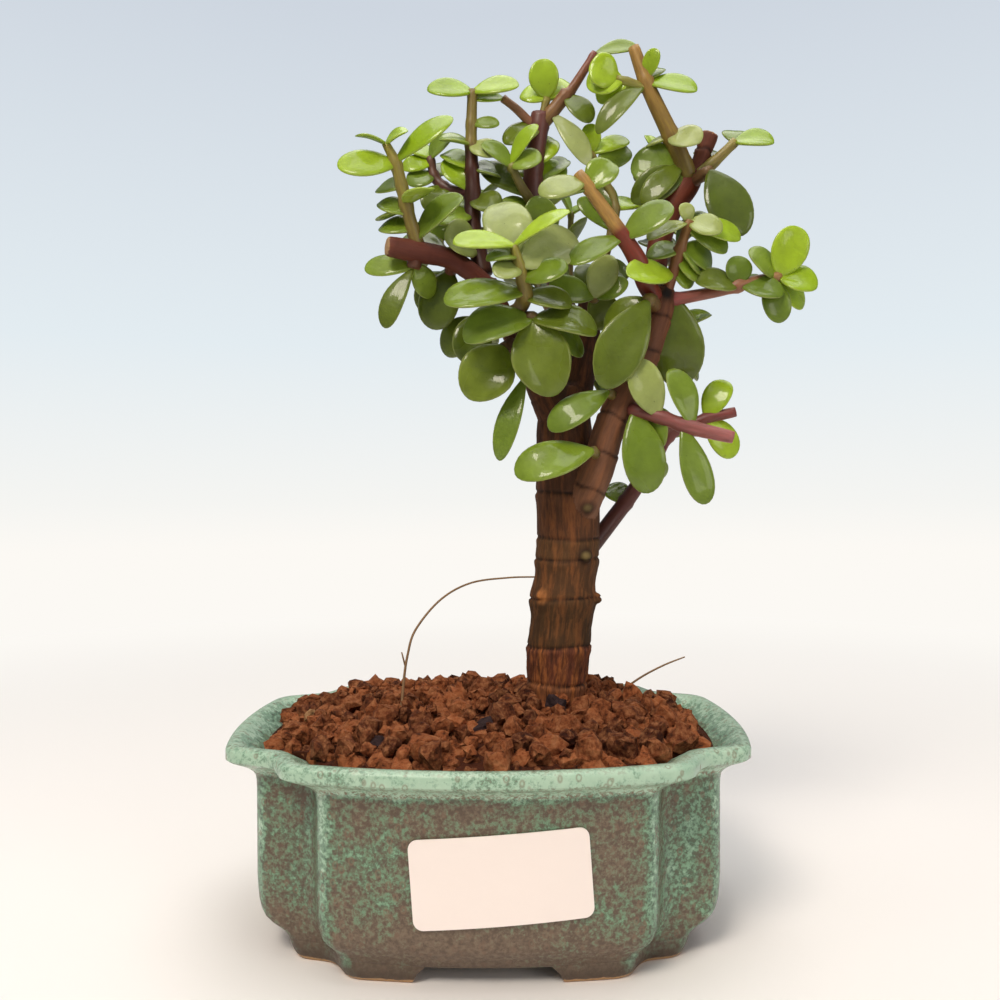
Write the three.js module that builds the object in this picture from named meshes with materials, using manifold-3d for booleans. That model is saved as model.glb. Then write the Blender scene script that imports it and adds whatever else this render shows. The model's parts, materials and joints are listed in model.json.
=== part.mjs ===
// Dwarf jade bonsai (Portulacaria afra) growing in a glazed, four-lobed bowl on corner feet.
// Millimetres, +Z up, front towards -Y. The plant is laid out about the middle of the bowl's
// underside; the last group moves everything so that the origin is under the middle of the whole.
import * as THREE from 'three';
import { mergeVertices } from 'three/addons/utils/BufferGeometryUtils.js';
import Module from 'manifold-3d';

const wasm = await Module();
wasm.setup();

// ---------------------------------------------------------------- driving dimensions
const GAP = 0.3;              // clearance kept between two touching pieces

// Plans of the bowl, one quarter each: bowed front and side panels that meet in a notched corner.
// half sizes over the panels' middles, then the panel ends and the bottom of the notch
const FOOT_PLAN = { half: [49, 41], frontEnd: [32, 38.5], notch: [36.5, 31], sideEnd: [46, 28.5] };
const BODY_PLAN = { half: [57, 46], frontEnd: [38, 41.5], notch: [41, 30.5], sideEnd: [55.5, 27.5] };
const RIM_PLAN = { half: [65.5, 50.5], frontEnd: [45.5, 44], notch: [49.5, 34], sideEnd: [62.3, 29] };
// where the bends of a corner start and end, as shares of the straights beside them
const CORNER = { panelEnd: 0.9, notchIn: 0.3, notchOut: 0.62, sideIn: 0.3, sideOut: 0.72, sideEnd: 0.86 };
const POT_HEIGHT = 50.5;
const FOOT_HEIGHT = 4.2;
const FLOOR_TOP = 8.2;
// outer wall from the base edge to the top of the lip: [height, inset, plan], where the plan
// runs from -1 at the foot through 0 at the body to 1 at the rim
const OUTER_WALL = [
  [FOOT_HEIGHT, 0, -0.84], [6.3, 0, -0.68], [9.4, 0, -0.2], [13.2, 0, -0.05], [43.3, 0, 0.05],
  [45.6, 0.2, 0.5], [47.2, 0, 1], [49.6, 0.2, 1], [POT_HEIGHT, 1.7, 1],
];
// inner wall from the lip down to the floor
const INNER_WALL = [[49.8, 3.7, 1], [46.8, 5.4, 0.7], [42, 4.4, 0], [12, 6.8, 0], [FLOOR_TOP, 12, 0]];
const FOOT = { inner: 9, archX: 17, archY: 14, sunk: 0.8, flare: 0.5, topPlan: -0.86 };
const DRAIN = { x: 22, radius: 5.5, sides: 12 };
const NET = { size: 17, thick: 0.8, openings: 2, opening: 4, pitch: 6 };

const SOIL = { edge: 47.6, crown: 8.4, spanX: 56, spanY: 47, underside: 0.3, belowLip: 0.6 };
const GRANULE = {
  pitch: 12.6, jitter: 2, topShare: 0.66, topSpread: 0.1, rise: 2.2, riseSpread: 1, tilt: 0.25, cleft: 0.9,
  seed: 41,
};

const LABEL = { width: 40, height: 20, thick: 0.3, corner: 2.2, tiltDeg: 3.9, x: 3, z: 25.9, spans: 4 };

// Leaf blade: outline stations [share of length, share of width] along one edge between the
// base and the tip; the other edge mirrors them.
const BLADE_EDGE = [[0.42, 0.5], [0.84, 0.46]];
const BLADE = { rimHalf: 0.42, midHalf: 0.85, midAt: 0.58, arch: 0.05 };

// ---------------------------------------------------------------- woody stems
// Each route is a hand-set list of [x, y, z, radius] along one stem.
const SIDES = { trunk: 10, limb: 7, twig: 5 };
const TRUNK = [
  [17.4, 2, 34, 6.8], [17.8, 2, 50, 7.5], [18, 2, 59, 7.9], [18.6, 2, 68.7, 8.5], [19.2, 2, 75, 8.2],
  [19.7, 2, 81.7, 8.9], [20.3, 2, 87, 8.2], [20.8, 2, 92.5, 8.5], [21.2, 2, 98, 8.3], [21.1, 2, 110, 8.5],
  [20.6, 3, 120, 7.9], [20.4, 4, 130, 7.1], [22, 5, 138, 5.4],
];
const LIMBS = {
  centre: [[21.5, 4, 130, 5.6], [24.5, 6, 141, 4.3], [26.5, 6, 152, 3.7], [27.5, 5, 163, 3]],
  left: [[19, 3, 128, 5], [13.5, 1, 138, 3.4], [8.7, 0, 147, 2.7], [4.5, -1, 156, 2.6], [0, 0, 166, 2.7]],
  stumpLeft: [
    [1, -0.5, 164, 2.4], [-6, -1.5, 169.5, 2.6], [-11, -3, 171.8, 2.6], [-18, -5, 172.8, 2.9],
    [-25.8, -8, 173.6, 2.6],
  ],
  right: [
    [24, 0, 104, 4.4], [25.5, -3.5, 109.5, 4.6], [28.6, -5, 117, 4.3], [31, -6, 126, 4.1], [34.5, -6, 134, 4],
    [39, -6, 142, 3.9], [42.2, -5, 150, 3.7], [44.7, -4, 158, 3.7], [45.6, -3.5, 163.5, 3.3],
  ],
  rightBack: [
    [45, -3, 160, 3], [44.8, 2, 172, 3], [48.5, 4, 185, 3.2], [53, 5, 192, 3.5], [55.3, 5, 196, 3.1],
  ],
  stumpRight: [[54.6, 5, 193, 2.5], [57.3, 4.5, 200, 2.2], [59.6, 4, 206.3, 2.5]],
  back: [[23, 5, 136, 3.4], [21.5, 12, 149, 2.7], [18, 19, 161, 2.2]],
};

// ---------------------------------------------------------------- leafy shoots
// A shoot is a set of twigs grown as one. A twig has a route like a limb's, and leaves given as
// [share of the twig, reach in x, y, z to the tip, blade width, lean], where the upper face looks
// straight up at a lean of 0 degrees and straight to the front at 90.
const SHOOTS = {
  shoot_left_tip: [
    {
      route: [[-18, -5, 174, 1.8], [-20.5, -7, 183, 1.6], [-23.2, -8, 194, 1.5], [-25.8, -9, 199.5, 0.9]],
      leaves: [
        [0.98, -7.5, -2, 2, 6, 20], [0.98, 5.5, -2, 3, 6, 40],
        [0.68, -14.5, -3, -1.8, 9.5, 62], [0.7, 14.8, -3, 10.5, 8, 52],
        [0.38, 7, -8, 1.5, 8, 15], [0.34, -8, 6, -1.5, 7.5, 35],
        [0.06, 12.5, -4, 10, 9, 50], [0.16, -9, 4, 2, 8.5, 50], [0.4, 4, 8, 4, 8, 20],
        [0.5, -7, 6, 1.5, 7, 60],
      ],
    },
  ],
  shoot_left_low: [
    {
      route: [[-18.5, -5, 172, 1.9], [-19, -4.5, 169.8, 1.6], [-19.3, -4.5, 168.5, 1.2]],
      leaves: [[0.95, -7.5, -3, -15.5, 6.5, 50], [0.9, -13, 4, 1, 7.5, 62], [0.5, 4, 4, -8, 7, 60]],
    },
  ],
  shoot_left_inner: [
    {
      route: [[-9.5, -2, 171.5, 1.8], [-10, 3, 169.5, 1.5], [-10.5, 6, 168.5, 1.2]],
      leaves: [[0.95, -8, 1, -9, 10, 80], [0.5, -5, 0, -15.5, 11, 85], [0.9, -4, 8, 2, 9, 40]],
    },
  ],
  shoot_left_mid: [
    {
      route: [
        [-1, 1, 168, 2.5], [-4, 3, 181, 2.3], [-4, 4, 191, 2.1], [-4.4, 4, 204, 1.6], [-4, 4, 218, 1.3],
      ],
      leaves: [
        [0.99, -12, -2, 0, 8, 58], [0.99, 12.5, -2, 1, 8, 55],
        [0.84, 7.5, -2, -0.8, 4.5, 65], [0.74, -8.5, -2, 1, 7, 35], [0.74, 7, -3, -4, 8, 55],
        [0.62, 8, 3, -1, 8, 45], [0.45, 7, -4, -4, 9, 55], [0.34, -10, -4, -3, 9.5, 50],
        [0.14, -8.5, -7, 1, 11, 75], [0.5, -7.5, 4, 10, 8, 70],
      ],
    },
    {
      route: [[-4, 4, 190.5, 1.8], [-10.5, 7.5, 192.5, 1.6], [-14.5, 9, 196.5, 1.3], [-15.7, 9, 202, 1]],
      leaves: [
        [0.98, -6, 3, 4, 7, 40], [0.98, 6, -2, 5, 7, 50],
        [0.9, -8, -1, -1.5, 6, 65], [0.7, -7, -2, -3, 8, 55],
        [0.68, 5, 6, 5, 7.5, 40], [0.45, -3, -4, -9, 8.5, 70],
      ],
    },
  ],
  shoot_top_middle: [
    {
      route: [[25, 6, 150, 2.6], [18.5, 8, 168, 2.8], [12.3, 8, 190, 2.7], [14.3, 7, 213, 2.6]],
      leaves: [
        [0.95, -9.5, -3, -6, 8.5, 55], [0.8, 6, 3, 8.5, 7.5, 80], [0.74, -6, 6, 7, 8.5, 40],
        [0.5, -2, -6, 10.5, 10, 80], [0.7, 8.5, 5, 9, 9, 80],
        [0.62, 6.5, 5, 10, 9, 75], [0.6, -10.5, -3, 2, 7.5, 70],
      ],
    },
    {
      route: [[12.8, 7, 209, 1.3], [8.2, 6, 213.4, 1.2], [4.2, 6, 216.6, 1]],
      leaves: [[0.98, -8.3, -1, -0.3, 5, 60]],
    },
    {
      route: [[14.5, 7, 211, 1.1], [16, 7, 217, 0.9]],
      leaves: [[0.98, -1.3, -2, 9.8, 8.2, 85], [0.98, -7, 2, 2.5, 7.5, 65], [0.9, 7, 4, 4.5, 5, 60]],
    },
    {
      route: [[14.8, 7, 210, 1.9], [20.8, 6, 217, 1.8], [22.3, 6, 218.3, 1.4], [29, 5, 228.3, 1]],
      leaves: [
        [0.98, 11.5, -2, 1, 5.8, 60], [0.12, 10, -4, -15, 6.5, 65], [0.6, -5.5, 4, 1.5, 5, 70],
        [0.36, 6.5, -3, -8.3, 7, 60],
      ],
    },
    {
      route: [[12.5, 7, 188, 1.5], [9, 3, 192, 1.3], [6, 1, 197.5, 1]],
      leaves: [[0.96, 6.5, -3, 10, 6, 40], [0.95, 8, -3, 0.8, 8, 60], [0.9, -8, -1, 6.5, 6, 55]],
    },
  ],
  shoot_front: [
    {
      route: [
        [4.5, -1, 157, 2.2], [8, -7, 157.5, 2], [9.4, -13, 160.5, 1.9], [8.2, -15.5, 165.5, 1.4],
        [6.6, -17, 171.5, 1],
      ],
      leaves: [
        [0.99, -15, -3, -0.5, 8.5, 45], [0.99, 13.5, -4, 7.5, 7, 40],
        [0.88, -7.5, -3, -1, 6, 40], [0.8, 15.5, 6, 7.5, 12, 80], [0.78, -6, -5, -3, 7, 60],
        [0.66, 11, -4, 2.5, 8, 60], [0.74, -5.5, 6, 19.5, 12.5, 75],
        [0.5, -20, -5, -3, 11, 50], [0.44, 12, -1, -2, 8.5, 50],
      ],
    },
    {
      route: [[7.5, -4, 155.5, 1.9], [10.5, -9, 155, 1.7], [11.4, -12, 153.8, 1.4]],
      leaves: [
        [0.85, -17, -5, -5.5, 12, 55], [0.9, 16, -4, -3.5, 10.5, 50], [0.95, 5, -2, -19.5, 15, 88],
        [0.7, 14, 3, -8.5, 7.5, 60],
      ],
    },
  ],
  shoot_left_under: [
    {
      route: [[6.5, -1, 150, 1.9], [5, -5, 148.5, 1.5], [4, -7, 147.8, 1.2]],
      leaves: [[0.95, -9, -3, -13.7, 14.4, 80]],
    },
  ],
  shoot_left_under_back: [
    {
      route: [[2.5, 0, 160, 1.8], [-1.5, 3, 158, 1.4], [-3.5, 5, 157, 1.1]],
      leaves: [[0.95, -9, 3, -9, 10, 70], [0.6, -4, -4, -13, 10.5, 80], [0.9, 3, 9, -6, 10, 40]],
    },
  ],
  spur_left: [
    {
      route: [[14.5, 1, 137, 1.4], [11, -3, 140, 1.2], [9.8, -4.5, 140.8, 1]],
      leaves: [[0.95, -7.4, -4, -21.8, 6.5, 40]],
    },
  ],
  spur_fork_low: [
    {
      route: [[28.8, -6, 119, 1.5], [26.6, -11, 121, 1.2]],
      leaves: [[0.95, -20, -3, -5, 11.5, 55]],
    },
  ],
  spur_fork_high: [
    {
      route: [[33.5, -6, 134, 1.5], [30.6, -10.5, 136, 1.2]],
      leaves: [[0.95, -15.5, -3, -9, 9, 55]],
    },
  ],
  shoot_front_right: [
    {
      route: [
        [44, -4, 160, 2.4], [40.5, -9, 163.5, 2.5], [38, -11.5, 168.7, 2.4], [33.8, -12, 175.3, 2],
        [25.7, -13, 186.4, 1.6], [22.8, -13, 190.5, 1.4],
      ],
      leaves: [
        [0.86, -11.5, -3, -4, 8.5, 55], [0.8, 6, 1, 7, 8.5, 65], [0.8, -7, 4, -1, 7, 40],
        [0.58, -14, -3, -7.5, 7.5, 55], [0.58, 12, -3, 7, 9.5, 55],
      ],
    },
  ],
  spur_fork_top: [
    {
      route: [[44, -4, 157, 1.9], [41.7, -10, 159.2, 1.7], [40, -13, 158.3, 1.3]],
      leaves: [
        [0.95, -11.5, -1.5, -22, 12.5, 85], [0.8, -10.5, 4, -7, 9, 60],
      ],
    },
  ],
  shoot_low_front: [
    {
      route: [
        [35.8, -6, 131.8, 1.5], [38, -10, 131, 1.6], [44.7, -12, 129, 1.7], [50.3, -13, 126.8, 1.9],
        [61.3, -15, 124, 1.6],
      ],
      leaves: [
        [0.44, -6, -3, 14, 9, 80], [0.78, -4.8, 2, 15.3, 8, 35],
        [0.2, 3.3, -3, -21, 11, 85], [0.5, -4, 6, -6.5, 9, 60],
        [0.7, 5.4, -2, -20, 8, 60],
      ],
    },
  ],
  shoot_low_right: [
    {
      route: [
        [27, 3, 95, 2.2], [33, 6, 102.3, 2.2], [39, 7.5, 110, 2.1], [45.3, 8, 119.5, 1.9],
        [49.5, 8, 126.1, 1.7], [58.1, 7, 129.9, 1.5], [66.9, 6, 132, 1.4],
      ],
      leaves: [
        [0.85, 8.5, 2, -10, 9, 65], [0.85, 6, 1, 10.5, 7.5, 50], [0.66, -6, 4, 7, 8, 50],
        [0.64, 5, 9, 2, 8, 30], [0.5, 1.5, 6, -7, 8, 55], [0.28, -4, 5, 5, 7.5, 50],
      ],
    },
  ],
  shoot_right_arm: [
    {
      route: [
        [45.5, -3.5, 160, 1.9], [53, -4.5, 161.2, 1.6], [61.8, -5, 162.8, 1.4], [69.5, -5, 165.2, 1.3],
        [76, -5, 166, 1.1],
      ],
      leaves: [
        [0.98, 4.2, -2, 12.6, 9.5, 85], [0.98, 9.3, -2, -3, 9, 60], [0.96, 8, 4, -7, 8, 60],
        [0.94, -7, -2, 7, 8, 50], [0.88, 2.6, -1, -11.8, 7.5, 85],
        [0.62, 10, -3, -3.5, 8.5, 55], [0.6, -1, -1, 7.5, 7, 85], [0.56, 6, 8, 5, 8, 30],
        [0.58, -11, -3, 1, 8.5, 55], [0.12, 1.6, 5, -22.3, 13.2, 85],
      ],
    },
  ],
  shoot_inner_right: [
    {
      route: [[46.3, -4.5, 162, 1.6], [48.8, -8, 171, 1.4], [51.5, -9, 179.5, 1.2]],
      leaves: [
        [0.97, -11, -3, -4.5, 6, 40], [0.97, 8, -2, -3, 8.5, 55], [0.9, 11, 4, -5, 8, 68],
        [0.98, -2, -1, 4.5, 4.5, 60], [0.6, 6, 5, -5, 9.5, 55], [0.55, -8, 3, 0, 8, 50],
        [0.25, -13, -10.5, -2.5, 9, 65], [0.45, 7.5, 3, -4, 8, 65],
      ],
    },
  ],
  shoot_crown_right: [
    {
      route: [[55.5, 4, 195, 1.8], [60, 3, 198, 1.5], [66, 2, 203.5, 1.2]],
      leaves: [[0.97, 10, -2, -1, 8.5, 50], [0.97, 1, 5, 5, 7, 40], [0.5, -2, 6, 5, 7, 40]],
    },
  ],
  spur_crown_right: [
    {
      route: [[54.5, 4, 193, 1.8], [57.5, 0, 194.5, 1.5], [58.5, -1.5, 194.5, 1.3]],
      leaves: [[0.92, 7.8, -3, -18, 12, 80], [0.4, 9, 8, -8, 10, 55]],
    },
  ],
  shoot_top_right: [
    {
      route: [
        [54, 4, 194, 2.4], [51, 3, 201, 2.4], [47.8, 2, 207, 2.3], [42.3, 1, 218, 2], [38.7, 1, 228, 1.6],
      ],
      leaves: [
        [0.76, 13, -2, -3, 8, 55], [0.78, 2.5, -3, 7, 4.5, 60], [0.78, 4.5, 3, 4.5, 6.5, 40],
        [0.76, -13.5, -3, -13.5, 6.5, 60], [0.44, 6.5, -7, -4.5, 8.5, 75], [0.42, -6, 5, -1, 7, 40],
        [0.14, -11.5, -3, -11, 7, 65], [0.06, -14.5, 3, 3, 13, 82],
      ],
    },
    {
      route: [[41.8, 1, 217, 1.4], [37, 0, 218.3, 1.2], [34, 0, 219.3, 1]],
      leaves: [[0.97, -7.5, -2, 2.5, 9.5, 85], [0.5, -8, 4, -2.5, 7.5, 80]],
    },
  ],
  shoot_centre: [
    {
      route: [
        [27.5, 5, 161.5, 1.6], [31.5, 5.5, 174, 1.3], [34.5, 6.5, 187, 1.2], [31, 7, 196, 1.1],
        [27.8, 7, 202.5, 0.9],
      ],
      leaves: [
        [0.98, -0.5, -2, 7.5, 5.5, 80], [0.98, 10.5, 2, 4.5, 6, 60], [0.82, 8.5, 2, 6.5, 8, 80],
        [0.5, -7.5, 4, 4, 8, 60], [0.5, 6, 7, 4, 8, 50],
        [0.38, -9, 1, 9, 6.5, 70], [0.42, -5.5, 3, 12, 8, 75],
      ],
    },
    {
      route: [[28.5, 5, 166, 1.5], [28, -1, 163, 1.5], [27.3, -6, 160.5, 1.2]],
      leaves: [
        [0.97, 4.5, -2, 10.5, 8, 82], [0.97, -11.5, -2, 3.5, 7.5, 75], [0.9, 8.5, -3, 3.5, 6.5, 70],
        [0.85, -3, 3, 9, 7, 60],
      ],
    },
  ],
};

// Sprigs fill the back of the crown: opposite pairs of leaves, each pair a quarter turn
// from the one below, shorter towards the tip. [name, start, end, pairs, longest leaf, first turn]
const SPRIG = {
  baseRadius: 1.5, tipRadius: 0.8, bow: 0.06, firstAt: 0.3, lastAt: 0.98, spreadLow: 12, spreadHigh: 48,
  taper: 0.4, sizeSpread: 0.12, widthShare: 0.7, jitterDeg: 16, droop: 0.22, leanDeg: 40, seed: 7,
};
const SPRIGS = [
  ['sprig_back_left', [-9, -1, 172], [-15, 20, 184], 3, 15, 20],
  ['sprig_back_left_high', [-2, 3, 172], [-5, 22, 197], 3, 15, 70],
  ['sprig_back_middle', [18.5, 18, 160], [13, 34, 177], 3, 15, 10],
  ['sprig_back_middle_high', [21, 13, 151], [24, 27, 192], 3, 16, 40],
  ['sprig_back_low', [24.5, 6, 141], [33, 25, 146], 3, 15, 80],
  ['sprig_back_right', [45.5, 1, 171], [56, 23, 184], 3, 15, 30],
  ['sprig_back_right_low', [43.5, -4, 154], [54, 17, 156], 3, 15, 60],
  ['sprig_crown_back', [51, 5, 189], [48, 19, 206], 3, 13, 50],
];

// ---------------------------------------------------------------- colours
function finish(color, roughness) {
  return new THREE.MeshStandardMaterial({ color, roughness, metalness: 0 });
}
const MATERIALS = {
  glaze: finish(0x6f9a86, 0.45),
  soil: finish(0x6f3d28, 0.95),
  bark: finish(0x5d3a25, 0.85),
  leaf: finish(0x7ba336, 0.35),
  paper: finish(0xf6ece6, 0.6),
  net: finish(0x2c2d2e, 0.6),
};

// ---------------------------------------------------------------- solids and booleans
function toSolid(geometry) {
  const bare = geometry.clone();
  bare.deleteAttribute('normal');
  bare.deleteAttribute('uv');
  const merged = mergeVertices(bare, 1e-4);
  return new wasm.Manifold(new wasm.Mesh({
    numProp: 3,
    vertProperties: new Float32Array(merged.attributes.position.array),
    triVerts: new Uint32Array(merged.index.array),
  }));
}

function toGeometry(solid) {
  const mesh = solid.getMesh();
  const geometry = new THREE.BufferGeometry();
  geometry.setAttribute('position', new THREE.BufferAttribute(mesh.vertProperties, 3));
  geometry.setIndex(new THREE.BufferAttribute(mesh.triVerts, 1));
  return geometry;
}

const joinAll = (solids) => solids.reduce((whole, next) => whole.add(next));

function boxesMeet(a, b) {
  const [p, q] = [a.boundingBox(), b.boundingBox()];
  return [0, 1, 2].every((i) => p.min[i] <= q.max[i] && q.min[i] <= p.max[i]);
}

// Cuts every cutter that comes near away from the solid.
function clearOf(solid, cutters) {
  const near = cutters.filter((cutter) => boxesMeet(solid, cutter));
  return near.reduce((rest, cutter) => rest.subtract(cutter), solid);
}

function largestPiece(solid) {
  return solid.decompose().reduce((best, piece) => (piece.volume() > best.volume() ? piece : best));
}

// A seeded draw between 0 and 1: a linear congruential generator.
function seededDraw(seed) {
  let state = seed;
  return () => {
    state = (state * 1664525 + 1013904223) % 4294967296;
    return state / 4294967296;
  };
}

// Skin over a stack of rings with the same number of points, closed by flat ends.
function loft(rings) {
  const count = rings[0].length;
  const positions = rings.flat().flatMap((point) => point.toArray());
  const index = [];
  for (let level = 0; level + 1 < rings.length; level += 1) {
    for (let i = 0; i < count; i += 1) {
      const a = level * count + i;
      const b = level * count + (i + 1) % count;
      index.push(a, b, b + count, a, b + count, a + count);
    }
  }
  const last = (rings.length - 1) * count;
  const flat = (ring) => ring.map((point) => new THREE.Vector2(point.x, point.y));
  const level = (ring) => Math.abs(ring[0].z - ring[1].z) < 1e-9 && Math.abs(ring[0].z - ring[3].z) < 1e-9;
  const capOf = (ring) => (level(ring)
    ? THREE.ShapeUtils.triangulateShape(flat(ring), [])
    : ring.slice(2).map((_, i) => [0, i + 1, i + 2]));
  capOf(rings[0]).forEach(([a, b, c]) => index.push(a, c, b));
  capOf(rings.at(-1)).forEach(([a, b, c]) => index.push(last + a, last + b, last + c));
  const geometry = new THREE.BufferGeometry();
  geometry.setAttribute('position', new THREE.Float32BufferAttribute(positions, 3));
  geometry.setIndex(index);
  return geometry;
}

// ---------------------------------------------------------------- the bowl
const between = (a, b, share) => a.map((value, i) => value + (b[i] - value) * share);

// Plan part of the way from the body to the foot (below 0) or the rim (above 0), drawn in by an inset.
function planAt(inset, level) {
  const plan = {};
  for (const key of Object.keys(BODY_PLAN)) {
    const [x, y] = between(BODY_PLAN[key], (level < 0 ? FOOT_PLAN : RIM_PLAN)[key], Math.abs(level));
    const drawX = key === 'frontEnd' ? 0.8 * inset : inset;
    const drawY = key === 'sideEnd' ? 0.8 * inset : inset;
    plan[key] = [x - drawX, y - drawY];
  }
  return plan;
}

// One quarter of the plan from the middle of the front panel to the middle of the side panel.
function quarterPlan({ half, frontEnd, notch, sideEnd }) {
  const v = ([x, y]) => new THREE.Vector2(x, y);
  const frontBow = (x) => v([x, half[1] - (half[1] - frontEnd[1]) * (x / frontEnd[0]) ** 2]);
  const sideBow = (y) => v([half[0] - (half[0] - sideEnd[0]) * (y / sideEnd[1]) ** 2, y]);
  const [a, n, s] = [v(frontEnd), v(notch), v(sideEnd)];
  const bend = (from, corner, to, steps) => new THREE.QuadraticBezierCurve(from, corner, to).getPoints(steps);
  const along = (p, q, share) => p.clone().lerp(q, share);
  return [
    ...[0, 0.5].map((share) => frontBow(frontEnd[0] * share)),
    ...bend(frontBow(frontEnd[0] * CORNER.panelEnd), a, along(a, n, CORNER.notchIn), 2),
    ...bend(along(a, n, CORNER.notchOut), n, along(n, s, CORNER.sideIn), 2),
    ...bend(along(n, s, CORNER.sideOut), s, sideBow(sideEnd[1] * CORNER.sideEnd), 2),
    sideBow(sideEnd[1] * 0.5),
    sideBow(0),
  ];
}

// The whole plan at one height, anticlockwise from the right of the front.
function planRing(height, inset, level) {
  const quarter = quarterPlan(planAt(inset, level));
  const mirrored = (points, x, y) => points.map((p) => new THREE.Vector3(x * p.x, y * p.y, height));
  return [
    ...mirrored(quarter, 1, -1),
    ...mirrored(quarter.slice(0, -1).reverse(), 1, 1),
    ...mirrored(quarter.slice(1), -1, 1),
    ...mirrored(quarter.slice(1, -1).reverse(), -1, -1),
  ];
}

function makePot() {
  const shell = toSolid(loft([...OUTER_WALL, ...INNER_WALL].map((ring) => planRing(...ring))));
  const top = FOOT_HEIGHT + FOOT.sunk;
  const footBand = (inset, low, high) => toSolid(loft([
    planRing(low, inset + FOOT.flare, -1),
    planRing(high, inset, FOOT.topPlan),
  ]));
  const span = 4 * BODY_PLAN.half[0];
  const arch = (x, y) => toSolid(new THREE.BoxGeometry(x, y, 4 * top));
  const feet = footBand(0, 0, top)
    .subtract(footBand(FOOT.inner, -1, top + 1))
    .subtract(arch(2 * FOOT.archX, span))
    .subtract(arch(span, 2 * FOOT.archY));
  const drill = new THREE.CylinderGeometry(DRAIN.radius, DRAIN.radius, 4 * FLOOR_TOP, DRAIN.sides);
  const drain = (side) => toSolid(drill.clone().rotateX(Math.PI / 2).translate(side * DRAIN.x, 0, 0));
  return shell.add(feet).subtract(drain(-1)).subtract(drain(1));
}

// Plastic net that lies over a drain hole on the floor of the bowl; its recess has a clearance.
function makeNet(side, clearance = 0) {
  const size = NET.size + 2 * clearance;
  const middle = FLOOR_TOP + GAP + NET.thick / 2;
  const slab = (x, y, across, thick) => toSolid(new THREE.BoxGeometry(across, across, thick)
    .translate(side * DRAIN.x + x, y, middle));
  const plate = slab(0, 0, size, NET.thick + 2 * clearance);
  if (clearance > 0) return plate;
  const places = Array.from({ length: NET.openings }, (_, i) => (i - (NET.openings - 1) / 2) * NET.pitch);
  const openings = places.flatMap((x) => places.map((y) => slab(x, y, NET.opening, 2 * NET.thick)));
  return clearOf(plate, openings);
}

// Blank sticker with round corners that follows the bow of the front panel, built from upright
// slices between its left and right edges.
function makeLabel() {
  const { corner, thick } = LABEL;
  const [halfWidth, halfHeight] = [LABEL.width / 2, LABEL.height / 2];
  const straight = halfWidth - corner;
  const round = [0, 0.3, 0.7, 1].map((share) => straight + corner * share);
  const span = (2 * straight) / LABEL.spans;
  const middle = Array.from({ length: LABEL.spans - 1 }, (_, i) => (i + 1) * span - straight);
  const stations = [...round.map((x) => -x).reverse(), ...middle, ...round];
  const tilt = THREE.MathUtils.degToRad(LABEL.tiltDeg);
  const bow = (BODY_PLAN.half[1] - BODY_PLAN.frontEnd[1]) / BODY_PLAN.frontEnd[0] ** 2;
  const point = (across, up, lift) => {
    const x = LABEL.x + across * Math.cos(tilt) - up * Math.sin(tilt);
    const z = LABEL.z + across * Math.sin(tilt) + up * Math.cos(tilt);
    return new THREE.Vector3(x, bow * x * x - BODY_PLAN.half[1] - GAP - lift, z);
  };
  return toSolid(loft(stations.map((across) => {
    const past = Math.max(Math.abs(across) - straight, 0);
    const up = halfHeight - corner + Math.sqrt(corner ** 2 - past ** 2);
    return [point(across, -up, 0), point(across, up, 0), point(across, up, thick), point(across, -up, thick)];
  })));
}

// ---------------------------------------------------------------- stems and leaves
function smoothPath(route) {
  const points = route.map(([x, y, z]) => new THREE.Vector3(x, y, z));
  return new THREE.CatmullRomCurve3(points, false, 'catmullrom');
}

// Round stem along a hand-set route, swept with rings that don't twist; fat widens it all round.
function stem(route, sides, fat = 0) {
  const path = smoothPath(route);
  const steps = route.length - 1;
  let across = new THREE.Vector3(0, -1, 0);
  const rings = [];
  for (let i = 0; i <= steps; i += 1) {
    const share = i / steps;
    const tangent = path.getTangent(share);
    const radius = route[i][3] + fat;
    across = across.clone().addScaledVector(tangent, -across.dot(tangent)).normalize();
    const side = tangent.clone().cross(across);
    const reach = (i === 0 ? -fat : 0) + (i === steps ? fat : 0);
    const centre = path.getPoint(share).addScaledVector(tangent, reach);
    rings.push(Array.from({ length: sides }, (_, k) => {
      const turn = (2 * Math.PI * k) / sides;
      return centre.clone()
        .addScaledVector(across, radius * Math.cos(turn))
        .addScaledVector(side, radius * Math.sin(turn));
    }));
  }
  return toSolid(loft(rings));
}

// Upper face of a blade that points along `along`: as near as it gets to up, leant to the front.
function bladeFace(along, leanDeg) {
  const lean = THREE.MathUtils.degToRad(leanDeg);
  const face = new THREE.Vector3(0, -Math.sin(lean), Math.cos(lean));
  return face.addScaledVector(along, -face.dot(along)).normalize();
}

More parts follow.
